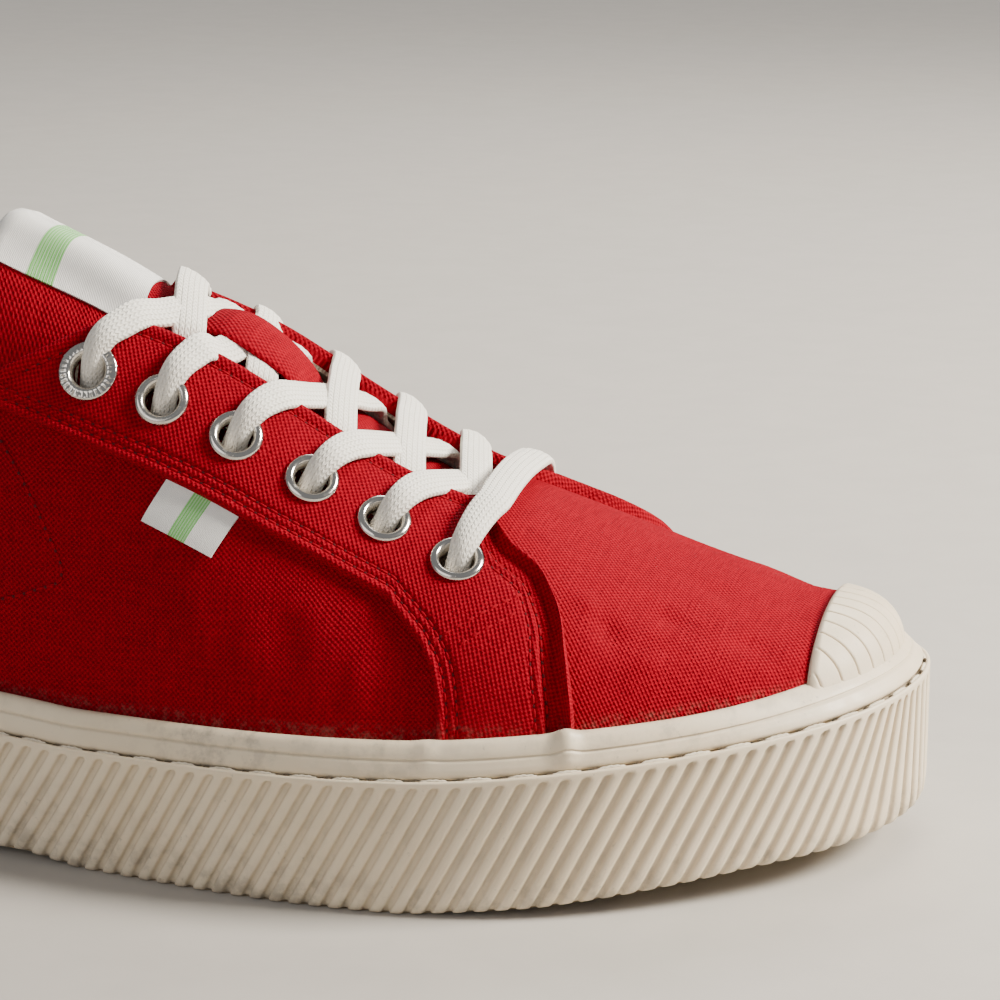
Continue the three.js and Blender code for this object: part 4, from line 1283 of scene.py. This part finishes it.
def tongue_end(across):
    """Ridge place of the tongue's top end at a distance from the ridge."""
    x = np.full(np.shape(across), 128.0)
    for _ in range(8):
        z = lifted(x, across, -3 + 0 * x)[..., 2]
        x = 122.6 + (z - 90) / 4 + 0.2 * np.clip(across, -14, 12)
    return x


def tongue_level(x, across):
    """Height of the tongue's face: full along the middle, pressed down under the facings."""
    sunk = 1.5 * smooth(192, 170, x)
    pressed = 0.7 * smooth(10, 19, np.abs(across)) * smooth(145, 158, x)
    return -4.2 - sunk - pressed + 0.25 * np.exp(-((np.abs(across) - 7) / 5) ** 2)


def tongue_points(t, w, thickness_share):
    """Point of the tongue: t from the top end to the vamp, w from side to side, share of its thickness."""
    t, w = np.broadcast_arrays(t, w)
    corner = np.clip((np.abs(w) - 0.72) / 0.28, 0, 1)
    round_off = 9 * (1 - np.sqrt(1 - corner ** 2))
    start = tongue_end(w * 30) + round_off
    x = start + t * (TONGUE_FRONT - start)
    across = w * look_up(TONGUE, x, "half")
    edge = np.sqrt(np.clip(1 - np.clip((np.abs(w) - 0.86) / 0.14, 0, 1) ** 2, 0, 1))
    top_edge = np.sqrt(np.clip(1 - np.clip(1 - (x - start) / 3.2, 0, 1) ** 2, 0, 1))
    full = TONGUE_HALF * np.minimum(edge, top_edge)
    return lifted(x, across, tongue_level(x, across) - TONGUE_HALF + full * thickness_share), x, across


def tongue_piece():
    """Padded canvas tongue with rounded edges."""
    t = np.concatenate([[0, .001, .004, .009, .016, .026], np.linspace(.04, 1, 150)])
    edge = np.array([.91, .94, .965, .985, .997, 1])
    w = np.concatenate([-np.array([1, .997, .985, .965, .94, .91]), np.linspace(-.88, .88, 70), edge])
    t, w = np.meshgrid(t, w, indexing="ij")
    top, x, across = tongue_points(t, w, 1.0)
    under, _, _ = tongue_points(t, w, -1.0)
    wear = 0.6 * np.exp(-((x - x[0]) / 2.2) ** 2)
    piece = make_sheet("tongue_pad", top, under, "tongue", "canvas", finish_of("canvas"),
                       np.stack([x * 1.13, across * 1.12], -1), {"wear": wear}, weld=0.01)
    return piece


# Crown of the footbed's face, from its middle to its rolled edge: reach, and drop from its full height.
FOOTBED = [(0, 1.2), (.2, 1.2), (.4, 1.15), (.6, 1.0), (.75, .75), (.87, .35), (.95, .05), (.985, .15),
           (1, .6)]


def insole_piece():
    """Footbed with a soft edge, dished at the heel."""
    u = np.arange(300) * ROUND / 300
    inset = FEATHER + 2.6
    edge = outline(u, inset)
    spine_x = np.clip((edge[:, 0] + outline(-u, inset)[:, 0]) / 2, 46, 250)
    spine = np.column_stack([spine_x, 0 * spine_x])
    rings = []
    for reach, height in [(reach, INSOLE - drop) for reach, drop in FOOTBED] + [(1, 0), (.5, 0), (0, 0)]:
        p = spine + reach * (edge - spine)
        rings.append(np.column_stack([p, rim(p[:, 0]) - CUP_DEPTH + .3 + height]))
    rings = np.array(rings)
    return make_piece("footbed_pad", rings, grid_quads(*rings.shape[:2], False, True), "insole",
                      finish_of("footbed"), weld=0.02)


# ---- Stitches ----
def sew_places(u, angle, off, pitch, phase):
    """Middles and frames (along, across, outward) of evenly spaced stitches on a line over the last."""
    arc = along_path(form(u, angle))
    count = max(int(arc[-1] / pitch), 1)
    at = (np.arange(count) + phase) * arc[-1] / count

    def spot(distance):
        return off_form(np.interp(distance, arc, u), np.interp(distance, arc, angle), off)

    along = spot(at + 0.4) - spot(at - 0.4)
    along /= np.linalg.norm(along, axis=1, keepdims=True)
    normal = form_normal(np.interp(at, arc, u), np.interp(at, arc, angle))
    across = np.cross(normal, along)
    across /= np.linalg.norm(across, axis=1, keepdims=True)
    return spot(at), np.stack([along, across, normal], axis=1)


def stitch_rows(lines, pitch):
    """Sewn thread along lines of station, angle and lift, and dark grains of painted shade for the needle
    holes between the stitches.
    """
    kinds = (("seam_stitches", (0.86, 0.30, 0.26), 0.5, 0.1, "thread_red"),
             # the needle holes are dark grains of painted shade
             ("needle_hole_shades", (0.34, 0.27, 0.2), 0.0, 0.0, "hole_shade_red"))
    for name, size, phase, lift, finish in kinds:
        stitch, quads = grain(*size, STITCH_RINGS, 6)
        points = []
        for u, angle, off in lines:
            middles, frames = sew_places(u, angle, off + lift, pitch, phase)
            points.append(stitch[None, :, :] @ frames + middles[:, None, :])
        points = np.concatenate(points)
        make_piece(name, points, copies(points, quads), None, finish_of(finish))





def seam_lines():
    """All the canvas seams as lines of station, angle and lift."""
    lines = []
    for side in (-1, 1):
        s, u, angle, from_low, from_high = facing_grid(side)

        def follow(distances, turn, target, low, high, lift):
            rows = [i for i in range(0, len(s), 2) if low < s[i] < high and distances[i].max() > target + 1]
            places = [np.array([np.interp(turn * target, turn * distances[i], grid[i]) for i in rows])
                      for grid in (u, angle)]
            lines.append((*places, lift))

        follow(from_low, 1, SEAM_1, -1, 2, 1.15)
        follow(from_low, 1, SEAM_2, -1, 2, 1.1)
        follow(from_high, -1, THROAT_SEAM, 0.02, FACING_CORNER - 0.01, 1.15)
        follow(from_high, -1, BAND_SEAM, FACING_CORNER + 0.06, 2, 0.1)
        follow(from_high, -1, LEG_SEAM, FACING_CORNER + 0.10, 2, 1.15)
        for seam, count, lift in (*((seam, 30, 1.32) for seam in JOINING_SEAMS), (COUNTER_SEAM, 80, 0.05)):
            fine = through(seam, count)
            lines.append((fine[:, 0] if side < 0 else ROUND - fine[:, 0], np.arccos(fine[:, 1]), lift))
    c, angle = collar_columns(BAND_SEAMS)
    lines += [(c, angle[:, k], 1.0) for k in range(len(BAND_SEAMS))]
    u_fine, arc = sole_arc()
    heel = np.interp(ROUND / 2, u_fine, arc)
    for off in STAY_SEAMS:
        base = np.interp(heel + off, arc, u_fine)
        top = edge_angle(whole_path, np.array([base]))[0]
        angle = np.linspace(0.25, top * 0.84, 60)
        lines.append((np.full(60, base), angle, 1.0))
    return lines


# ---- Eyelets ----
# Sections of the plain eyelet and of the larger one with a knurled washer: radius and height over the seat.
EYELET_SECTION = [
    (5.08, 0.3), (4.95, 0.72), (4.6, 1.05), (4.15, 1.2), (3.75, 1.12), (3.42, 0.82), (3.22, 0.4),
    (3.12, -0.2), (3.12, -1.8), (3.35, -1.8), (3.35, -0.1), (4.9, -0.05),
]
WASHER_SECTION = [
    (5.62, 0.3), (5.5, 0.75), (5.2, 0.92), (4.5, 0.98), (4.15, 1.12), (3.85, 1.1), (3.45, 0.8), (3.2, 0.3),
    (3.12, -0.3), (3.12, -1.8), (3.35, -1.8), (3.35, -0.1), (5.4, -0.05),
]
# The knurl: number of ridges, their half-height, and the radii that they lie between.
KNURLS = 30
KNURL_HEIGHT = 0.13
KNURL_RADII = (4.05, 5.3)
# Height of the eyelets' seats off the last.
EYELET_SEAT = 1.2


def turned_ring(name, section, segments):
    """A ring turned from its section: a circle extruded, drawn in and raised step by step, then closed."""
    deselect()
    radius = section[0][0] * MM
    bpy.ops.mesh.primitive_circle_add(vertices=segments, radius=radius, location=(0, 0, 0))
    ring = bpy.context.active_object
    ring.name = name
    bpy.ops.object.mode_set(mode="EDIT")
    bpy.ops.mesh.select_all(action="SELECT")
    bpy.ops.transform.translate(value=(0, 0, section[0][1] * MM))
    for (before, low), (after, high) in zip(section, section[1:]):
        bpy.ops.mesh.extrude_region_move(TRANSFORM_OT_translate={"value": (0, 0, (high - low) * MM)})
        scale = after / before
        bpy.ops.transform.resize(value=(scale, scale, 1), center_override=(0, 0, 0))
    bpy.ops.mesh.select_all(action="SELECT")
    bpy.ops.mesh.region_to_loop()
    bpy.ops.mesh.bridge_edge_loops()
    bpy.ops.mesh.select_all(action="SELECT")
    bpy.ops.mesh.normals_make_consistent(inside=False)
    bpy.ops.object.mode_set(mode="OBJECT")
    return ring


def place_eyelet(model, name, node, u, angle):
    """A copy of the model ring, seated on the facing."""
    copy = model.copy()
    copy.data = model.data.copy()
    copy.name = name
    bpy.context.scene.collection.objects.link(copy)
    normal = Vector(form_normal(u, angle))
    seat = Vector(to_row(off_form(u, angle, EYELET_SEAT)))
    copy.data.transform(Matrix.Translation(seat) @ normal.to_track_quat("Z", "Y").to_matrix().to_4x4())
    return finish_piece(copy, node, finish_of("nickel"), 50)


def eyelet_pieces():
    """Twelve eyelets: the top pair with a knurled washer."""
    plain = turned_ring("eyelet_model", EYELET_SECTION, 48)
    washer = turned_ring("washer_model", WASHER_SECTION, 96)
    for vertex in washer.data.vertices:
        radius = math.hypot(vertex.co.x, vertex.co.y) / MM
        if KNURL_RADII[0] < radius < KNURL_RADII[1] and vertex.co.z / MM > 0.5:
            turn = math.atan2(vertex.co.y, vertex.co.x)
            vertex.co.z += KNURL_HEIGHT * MM * math.cos(KNURLS * turn)
    for i, side, u, angle in eyelet_spots():
        name = f"eyelet_{'lateral' if side < 0 else 'medial'}_{i + 1}"
        place_eyelet(washer if i == 0 else plain, name + "_ring", name, u, angle)
    for model in (plain, washer):
        bpy.data.objects.remove(model)


# ---- Laces ----
# A strand's own side, from its eyelet to the throat's edge; then its far end, under the other facing.
STRAND_START = table(("step", "across", "lift", "width", "curl"), [
    (-0.2, 26.2, -2.6, 5.0, 0.6), (-0.1, 25.6, -0.8, 4.6, 1.2), (0.2, 24.7, 1.3, 4.6, 1.4),
    (0.8, 23.2, 3.1, 5.0, 1.15), (1.9, 21.3, 3.9, 5.5, 0.75), (3.5, 18.9, 3.4, 6.1, 0.4),
    (5.4, 16.2, 2.5, 6.5, 0.25),
])
STRAND_END = table(("step", "across", "lift", "width", "curl"), [
    (15.0, -12.2, -1.5, 6.5, 0.1), (15.6, -15.0, -3.4, 6.3, 0.1), (15.8, -19.0, -3.6, 6.0, 0.2),
    (15.6, -22.5, -3.4, 5.6, 0.3),
])
BAR_END = table(("step", "across", "lift", "width", "curl"), [
    (0.9, -16.6, 4.5, 6.4, 0.3), (0.6, -19.6, 4.3, 6.0, 0.5), (0.3, -22.4, 3.3, 5.4, 0.95),
    (0.1, -24.3, 1.4, 4.9, 1.3), (0.0, -25.3, -0.8, 4.7, 1.2), (0.0, -26.0, -2.6, 5.0, 0.6),
])
# Distance of the tables' eyelet from the ridge; a strand moves out or in with its own eyelet.
TABLE_ACROSS = 25.2
# Rise of the upper strand over the lower one, the crossing under the keeper, and the lace over the tongue.
CROSSING_RAISE = 1.75
KEPT = 1
LACE_SEAT = 1.05
# How far each upper strand strays along the shoe, and the topmost lower one, with its bow.
STRAND_DRIFT = (0.8, 0.3, 1.0, -0.3, -1.2)
TOP_STRAND = (1.6, 2.6)


def strand_points(index, side, raise_by, end, drift, width, bow=0.0):
    """Centreline, outward direction, width and curl of a strand from its eyelet to the other facing."""
    eyelet_x, eyelet_across = EYELETS["x"][index], EYELETS["across"][index]
    bar = end is BAR_END
    columns = []
    for rows in (STRAND_START, end):
        bar_start = bar and rows is STRAND_START
        step = rows["step"] * (0.4 if bar_start else 1)
        outer = smooth(16, 24, np.abs(rows["across"])) * np.sign(rows["across"])
        across = rows["across"] + outer * (eyelet_across - TABLE_ACROSS)
        x = eyelet_x + step + drift * (1 - np.abs(outer))
        lift = rows["lift"] + (2.1 if bar_start else 0) * smooth(22, 15.5, np.abs(rows["across"]))
        place = lifted(x, side * across, lift)
        columns.append(np.column_stack([place, x, side * across, rows["width"], rows["curl"]]))
    t = np.linspace(0, 1, 7)[1:-1, None]
    chord = columns[0][-1] * (1 - t) + columns[1][0] * t
    chord[:, 2] += (0.3 + 1.0 * bar - 1.8 * (index == KEPT)) * np.sin(np.pi * t[:, 0])
    chord[:, [0, 3]] += bow * np.sin(np.pi * t)
    x, across = chord[:, 3], chord[:, 4]
    rest = lifted(x, across, tongue_level(x, across) + LACE_SEAT)[:, 2]
    chord[:, 2] = np.maximum(chord[:, 2], rest) + raise_by * smooth(14, 5, np.abs(across))
    chord[:, 5] = width
    chord[:, 6] = 0.12
    fine = through(np.concatenate([columns[0], chord, columns[1]]), 90)
    u, angle = locate(fine[:, 3], fine[:, 4])
    return fine[:, :3], form_normal(u, angle), fine[:, 5], fine[:, 6]


def ribbon(centre, up, width, curl, thickness, full_width):
    """Closed flat braid round a centreline, with rounded edges, shallow ribs and a curl across it."""
    sides = 24
    along = np.gradient(centre, axis=0)
    along /= np.linalg.norm(along, axis=1, keepdims=True)
    flat = np.cross(up, along)
    flat /= np.linalg.norm(flat, axis=1, keepdims=True)
    out = np.cross(along, flat)
    phi = np.arange(sides) * TURN / sides
    across = np.sign(np.cos(phi)) * np.abs(np.cos(phi)) ** 0.75
    tall = np.sign(np.sin(phi)) * np.abs(np.sin(phi)) ** 0.6
    ribs = 1 + 0.10 * np.cos(across * np.pi * 4)
    a = across[None, :] * width[:, None] / 2
    b = tall[None, :] * ribs[None, :] * thickness / 2 - curl[:, None] * across[None, :] ** 2
    points = centre[:, None, :] + a[..., None] * flat[:, None, :] + b[..., None] * out[:, None, :]
    length = along_path(centre)
    cloth = np.stack([np.broadcast_to(length[:, None], a.shape),
                      np.broadcast_to(across * full_width / 2, a.shape)], -1)
    return points, cloth


def lace_piece(name, strands, node, thickness, full_width):
    """One lace mesh from several strands, each closed at both ends."""
    points, cloths, faces, wear = [], [], [], []
    for centre, up, width, curl in strands:
        p, cloth = ribbon(centre, up, width, curl, thickness, full_width)
        rows, sides = p.shape[:2]
        base = len(points) * rows * sides
        quads = grid_quads(rows, sides, False, True).reshape(-1, 4)
        cap = cap_quads(sides)
        faces += [quads + base, cap[:, ::-1] + base, cap + base + (rows - 1) * sides]
        points.append(p.reshape(-1, 3))
        cloths.append(cloth.reshape(-1, 2) + (7.3 * len(points), 0))
        wear.append(np.broadcast_to(smooth(0.45, 1.1, curl)[:, None], (rows, sides)).ravel())
    return make_piece(name, np.concatenate(points), np.concatenate(faces), node, finish_of("lace"),
                      uv=np.concatenate(cloths), values={"wear": np.concatenate(wear)}, angle=70)


def lace_pieces(sizes):
    """The five crossings, lower strand first, and the front bar."""
    draw = np.random.default_rng(11)
    thickness, width = sizes.lace_thickness / MM, sizes.lace_width / MM
    last = len(EYELETS["x"]) - 1
    for k in range(last):
        drift, bow = TOP_STRAND if k == 0 else (draw.uniform(-0.4, 0.4), 0.0)
        rise = CROSSING_RAISE - 0.35 * (k == KEPT)
        pair = [strand_points(k, -1, 0.0, STRAND_END, drift, width, bow),
                strand_points(k, 1, rise, STRAND_END, STRAND_DRIFT[k], width)]
        lace_piece(f"lace_cross_{k + 1}", pair, f"lace_crossing_{k + 1}", thickness, width)
    bar = strand_points(last, -1, 0.0, BAR_END, 0.0, width)
    lace_piece("lace_front_bar", [bar], "lace_bar", thickness, width)


# The keeper's profile: x along the tongue and height over the last; its middle and half-width across.
KEEPER = [(163.5, -5.4), (166.0, -4.6), (168.2, -2.9), (170.8, -1.3), (173.8, -0.6), (177.0, -0.5),
          (180.2, -0.8), (183.6, -1.7), (187.0, -3.4), (190.5, -4.4)]
KEEPER_ACROSS = -2.5
KEEPER_WIDE = 7.4
KEEPER_HALF = 0.55
# The tongue's label: its middle and half-width across, its lower end, its height over the cloth, its fold.
LABEL_ACROSS = -2.6
LABEL_WIDE = 12.8
LABEL_FRONT = 156.5
LABEL_LIFT = 0.45
LABEL_FOLD = 2.5


def keeper_piece():
    """Canvas strap along the tongue that holds the second crossing down."""
    path = through(KEEPER, 70)
    w = np.concatenate([[-1, -.97], np.linspace(-.92, .92, 26), [.97, 1]])
    x, w = np.broadcast_arrays(path[:, :1], w[None, :])
    across = KEEPER_ACROSS + w * KEEPER_WIDE
    half = KEEPER_HALF * np.sqrt(np.clip(1 - np.clip((np.abs(w) - .9) / .1, 0, 1) ** 2, 0, 1))
    lift = path[:, 1:] - 0.35 * w ** 2 + smooth(0.2, -0.9, w) * sewn(x, 183.0, 4.0)
    arc = along_path(np.column_stack([path, 0 * path[:, 0]]))
    return make_sheet("lace_keeper_strap", lifted(x, across, lift + half), lifted(x, across, lift - half),
                      "lace_keeper", "canvas", finish_of("canvas"),
                      np.stack([np.broadcast_to(arc[:, None], x.shape), across], -1),
                      {"wear": 0.8 * smooth(0.85, 1, np.abs(w))}, weld=0.01)


def tongue_label_piece():
    """White label along the tongue, folded over its top end."""
    w = np.linspace(-1, 1, 30)
    across = LABEL_ACROSS + w * LABEL_WIDE
    end = tongue_end(across)
    fold = end + 1.2
    rows = [(LABEL_FRONT + share * (fold - LABEL_FRONT), LABEL_LIFT) for share in np.linspace(0, 1, 46)]
    rows += [(fold - LABEL_FOLD * np.sin(turn), (TONGUE_HALF + LABEL_LIFT) * np.cos(turn) - TONGUE_HALF)
             for turn in np.linspace(0.25, 1, 7) * np.pi]
    rows += [(end + past, -2 * TONGUE_HALF - LABEL_LIFT) for past in np.linspace(2.4, 16, 14)]
    face = np.array([lifted(x, across, tongue_level(x, across) + lift) for x, lift in rows])
    normal = np.cross(np.gradient(face, axis=0), np.gradient(face, axis=1))
    normal /= np.linalg.norm(normal, axis=-1, keepdims=True)
    middle = len(w) // 2
    back = face - 0.4 * normal * np.sign(normal[0, middle, 2])
    arc, wide = np.broadcast_arrays(along_path(face[:, middle])[:, None], (w + 1) * LABEL_WIDE)
    return make_sheet("tongue_label_satin", face, back, "tongue_label", "label", finish_of("tongue_label"),
                      np.stack([arc, wide], -1))


def side_label_piece():
    """Small white flag caught under the facing's lower edge."""
    corners = np.array([(u, math.acos(reach)) for u, reach in SIDE_LABEL])
    s, t = np.meshgrid(np.linspace(0, 1, 26), np.linspace(-0.12, 1, 20), indexing="ij")
    weights = [(1 - s) * (1 - t), s * (1 - t), s * t, (1 - s) * t]
    u, angle = (sum(w * c[k] for w, c in zip(weights, corners)) for k in (0, 1))
    lift = 0.45 + 0.55 * smooth(0.1, 1, t) + 0.2 * np.sin(s * 2.6) * t
    return make_sheet("side_label_satin", off_form(u, angle, lift), off_form(u, angle, lift - 0.45),
                      "side_label", "label", finish_of("side_label"), np.stack([s * 15.5, t * 8.2], -1))


# ---- Stage ----
# Area lights: name, place, aim, size, power and colour.
LIGHTS = [
    ("key", (1.0, 0.18, 0.72), (0.06, 0, 0.05), (0.40, 0.40), 47, (1.0, 0.93, 0.82)),
    ("back", (0.1, 0.95, 0.80), (0.03, 0, 0.06), (0.7, 0.4), 8, (1.0, 0.95, 0.88)),
    ("fill", (-0.45, -1.2, 0.6), (0, 0, 0.04), (1.2, 0.9), 5.6, (1.0, 0.96, 0.93)),
    ("wash", (-0.2, 3.0, 2.2), (-0.2, 2.2, 0), (4.0, 2.0), 60, (1.0, 0.97, 0.93)),
]
SKY = (0.80, 0.82, 0.86, 1)
SKY_STRENGTH = 0.32
# The camera: sensor and lens, degrees round towards the toe and up, distance and aim, in millimetres.
SENSOR = 36
LENS = 3.20012 * SENSOR
CAMERA_ROUND = 14.9554
CAMERA_UP = 14.4322
CAMERA_DISTANCE = 605.634
CAMERA_AIM = (219.758, 0.0, 62.807)


def area_light(name, place, aim, size, power, colour):
    """A rectangular lamp that faces its aim."""
    data = bpy.data.lights.new(name, "AREA")
    data.shape = "RECTANGLE"
    data.size, data.size_y = size
    data.energy = power
    data.color = colour
    lamp = bpy.data.objects.new(name, data)
    lamp.location = place
    lamp.rotation_euler = (Vector(aim) - Vector(place)).to_track_quat("-Z", "Y").to_euler()
    bpy.context.scene.collection.objects.link(lamp)


def set_camera():
    """The camera, aimed at the shoe's front half."""
    turn, rise = math.radians(CAMERA_ROUND), math.radians(CAMERA_UP)
    back = np.array([math.sin(turn) * math.cos(rise), -math.cos(turn) * math.cos(rise), math.sin(rise)])
    data = bpy.data.cameras.new("camera")
    data.sensor_width = SENSOR
    data.lens = LENS
    camera = bpy.data.objects.new("camera", data)
    camera.location = to_row(np.array(CAMERA_AIM) + back * CAMERA_DISTANCE)
    camera.rotation_euler = Vector(-back).to_track_quat("-Z", "Y").to_euler()
    bpy.context.scene.collection.objects.link(camera)
    bpy.context.scene.camera = camera


def set_stage():
    """Pale floor, soft studio light and the camera."""
    deselect()
    bpy.ops.mesh.primitive_plane_add(size=16, location=(0, 0, 0))
    floor = bpy.context.active_object
    floor.name = "floor"
    floor.data.materials.append(plain_finish("floor_pale", (0.46, 0.435, 0.40), 0.8, 90, 0.02, 0.03))
    world = bpy.data.worlds.new("studio")
    world.use_nodes = True
    world.node_tree.nodes["Background"].inputs[0].default_value = SKY
    world.node_tree.nodes["Background"].inputs[1].default_value = SKY_STRENGTH
    bpy.context.scene.world = world
    for light in LIGHTS:
        area_light(*light)
    set_camera()


# ---- Operators ----
class SNEAKER_OT_stage(bpy.types.Operator):
    """Set the floor, light and camera"""
    bl_idname = "sneaker.stage"
    bl_label = "Stage"

    def execute(self, context):
        set_stage()
        return {"FINISHED"}


class SNEAKER_OT_outsole(bpy.types.Operator):
    """Build the ribbed wall and the tread"""
    bl_idname = "sneaker.outsole"
    bl_label = "Outsole"

    def execute(self, context):
        outsole_wall(context.scene.sneaker_sizes)
        outsole_tread()
        return {"FINISHED"}


class SNEAKER_OT_foxing(bpy.types.Operator):
    """Build the rubber band round the upper"""
    bl_idname = "sneaker.foxing"
    bl_label = "Foxing"

    def execute(self, context):
        foxing_band()
        return {"FINISHED"}


class SNEAKER_OT_sole_stitching(bpy.types.Operator):
    """Lay the thread in the sole's channel"""
    bl_idname = "sneaker.sole_stitching"
    bl_label = "Sole stitching"

    def execute(self, context):
        sole_stitching(context.scene.sneaker_sizes)
        return {"FINISHED"}


class SNEAKER_OT_toe_cap(bpy.types.Operator):
    """Build the grooved toe cap"""
    bl_idname = "sneaker.toe_cap"
    bl_label = "Toe cap"

    def execute(self, context):
        toe_cap_piece(context.scene.sneaker_sizes)
        return {"FINISHED"}


class SNEAKER_OT_vamp(bpy.types.Operator):
    """Build the canvas vamp"""
    bl_idname = "sneaker.vamp"
    bl_label = "Vamp"

    def execute(self, context):
        panel("vamp", vamp_path, np.linspace(-1, 1, 281), 80, vamp_cloth, 0.03)
        return {"FINISHED"}


class SNEAKER_OT_quarters(bpy.types.Operator):
    """Build both canvas quarters"""
    bl_idname = "sneaker.quarters"
    bl_label = "Quarters"

    def execute(self, context):
        stations = np.linspace(0, 1, 230)
        panel("quarter_lateral", quarter_path, stations, 62, side_cloth)
        panel("quarter_medial", medial_path, stations, 62, side_cloth)
        return {"FINISHED"}


class SNEAKER_OT_facings(bpy.types.Operator):
    """Build both facings"""
    bl_idname = "sneaker.facings"
    bl_label = "Facings"

    def execute(self, context):
        facing_piece(-1)
        facing_piece(1)
        return {"FINISHED"}


class SNEAKER_OT_collar(bpy.types.Operator):
    """Build the collar band and heel stay"""
    bl_idname = "sneaker.collar"
    bl_label = "Collar"

    def execute(self, context):
        collar_band()
        heel_stay()
        return {"FINISHED"}


class SNEAKER_OT_lining(bpy.types.Operator):
    """Build the lining"""
    bl_idname = "sneaker.lining"
    bl_label = "Lining"

    def execute(self, context):
        lining_piece()
        return {"FINISHED"}


class SNEAKER_OT_tongue(bpy.types.Operator):
    """Build the tongue"""
    bl_idname = "sneaker.tongue"
    bl_label = "Tongue"

    def execute(self, context):
        tongue_piece()
        return {"FINISHED"}


class SNEAKER_OT_footbed(bpy.types.Operator):
    """Build the footbed"""
    bl_idname = "sneaker.footbed"
    bl_label = "Footbed"

    def execute(self, context):
        insole_piece()
        return {"FINISHED"}


class SNEAKER_OT_seams(bpy.types.Operator):
    """Sew the canvas seams"""
    bl_idname = "sneaker.seams"
    bl_label = "Seams"

    def execute(self, context):
        stitch_rows(seam_lines(), context.scene.sneaker_sizes.seam_stitch / MM)
        return {"FINISHED"}


class SNEAKER_OT_eyelets(bpy.types.Operator):
    """Set the twelve eyelets"""
    bl_idname = "sneaker.eyelets"
    bl_label = "Eyelets"

    def execute(self, context):
        eyelet_pieces()
        return {"FINISHED"}


class SNEAKER_OT_laces(bpy.types.Operator):
    """Run the lace through the eyelets"""
    bl_idname = "sneaker.laces"
    bl_label = "Laces"

    def execute(self, context):
        lace_pieces(context.scene.sneaker_sizes)
        return {"FINISHED"}


class SNEAKER_OT_keeper(bpy.types.Operator):
    """Build the lace keeper"""
    bl_idname = "sneaker.keeper"
    bl_label = "Keeper"

    def execute(self, context):
        keeper_piece()
        return {"FINISHED"}


class SNEAKER_OT_labels(bpy.types.Operator):
    """Build the plain labels"""
    bl_idname = "sneaker.labels"
    bl_label = "Labels"

    def execute(self, context):
        tongue_label_piece()
        side_label_piece()
        return {"FINISHED"}


OPERATORS = [
    SNEAKER_OT_stage, SNEAKER_OT_outsole, SNEAKER_OT_foxing, SNEAKER_OT_sole_stitching,
    SNEAKER_OT_toe_cap, SNEAKER_OT_vamp, SNEAKER_OT_quarters, SNEAKER_OT_facings, SNEAKER_OT_collar,
    SNEAKER_OT_lining, SNEAKER_OT_tongue, SNEAKER_OT_footbed, SNEAKER_OT_seams, SNEAKER_OT_eyelets,
    SNEAKER_OT_laces, SNEAKER_OT_keeper, SNEAKER_OT_labels,
]


class SNEAKER_PT_panel(bpy.types.Panel):
    """Lists the shoe's sizes, colours and building steps."""
    bl_label = "Canvas sneaker"
    bl_idname = "SNEAKER_PT_panel"
    bl_space_type = "VIEW_3D"
    bl_region_type = "UI"
    bl_category = "Sneaker"

    def draw(self, context):
        for group in (context.scene.sneaker_sizes, context.scene.sneaker_colours):
            for key in group.__annotations__:
                self.layout.prop(group, key)
        for item in OPERATORS:
            self.layout.operator(item.bl_idname)


CLASSES = [SneakerSizes, SneakerColours, *OPERATORS, SNEAKER_PT_panel]


def register():
    """Registers the classes and adds the settings to the scene."""
    for item in CLASSES:
        bpy.utils.register_class(item)
    bpy.types.Scene.sneaker_sizes = PointerProperty(type=SneakerSizes)
    bpy.types.Scene.sneaker_colours = PointerProperty(type=SneakerColours)


def unregister():
    """Takes the settings and the classes away again."""
    del bpy.types.Scene.sneaker_colours
    del bpy.types.Scene.sneaker_sizes
    for item in reversed(CLASSES):
        bpy.utils.unregister_class(item)


def main():
    """Builds the shoe and its stage."""
    register()
    for item in OPERATORS:
        getattr(bpy.ops.sneaker, item.bl_idname.split(".")[1])()


if __name__ == "__main__":
    main()
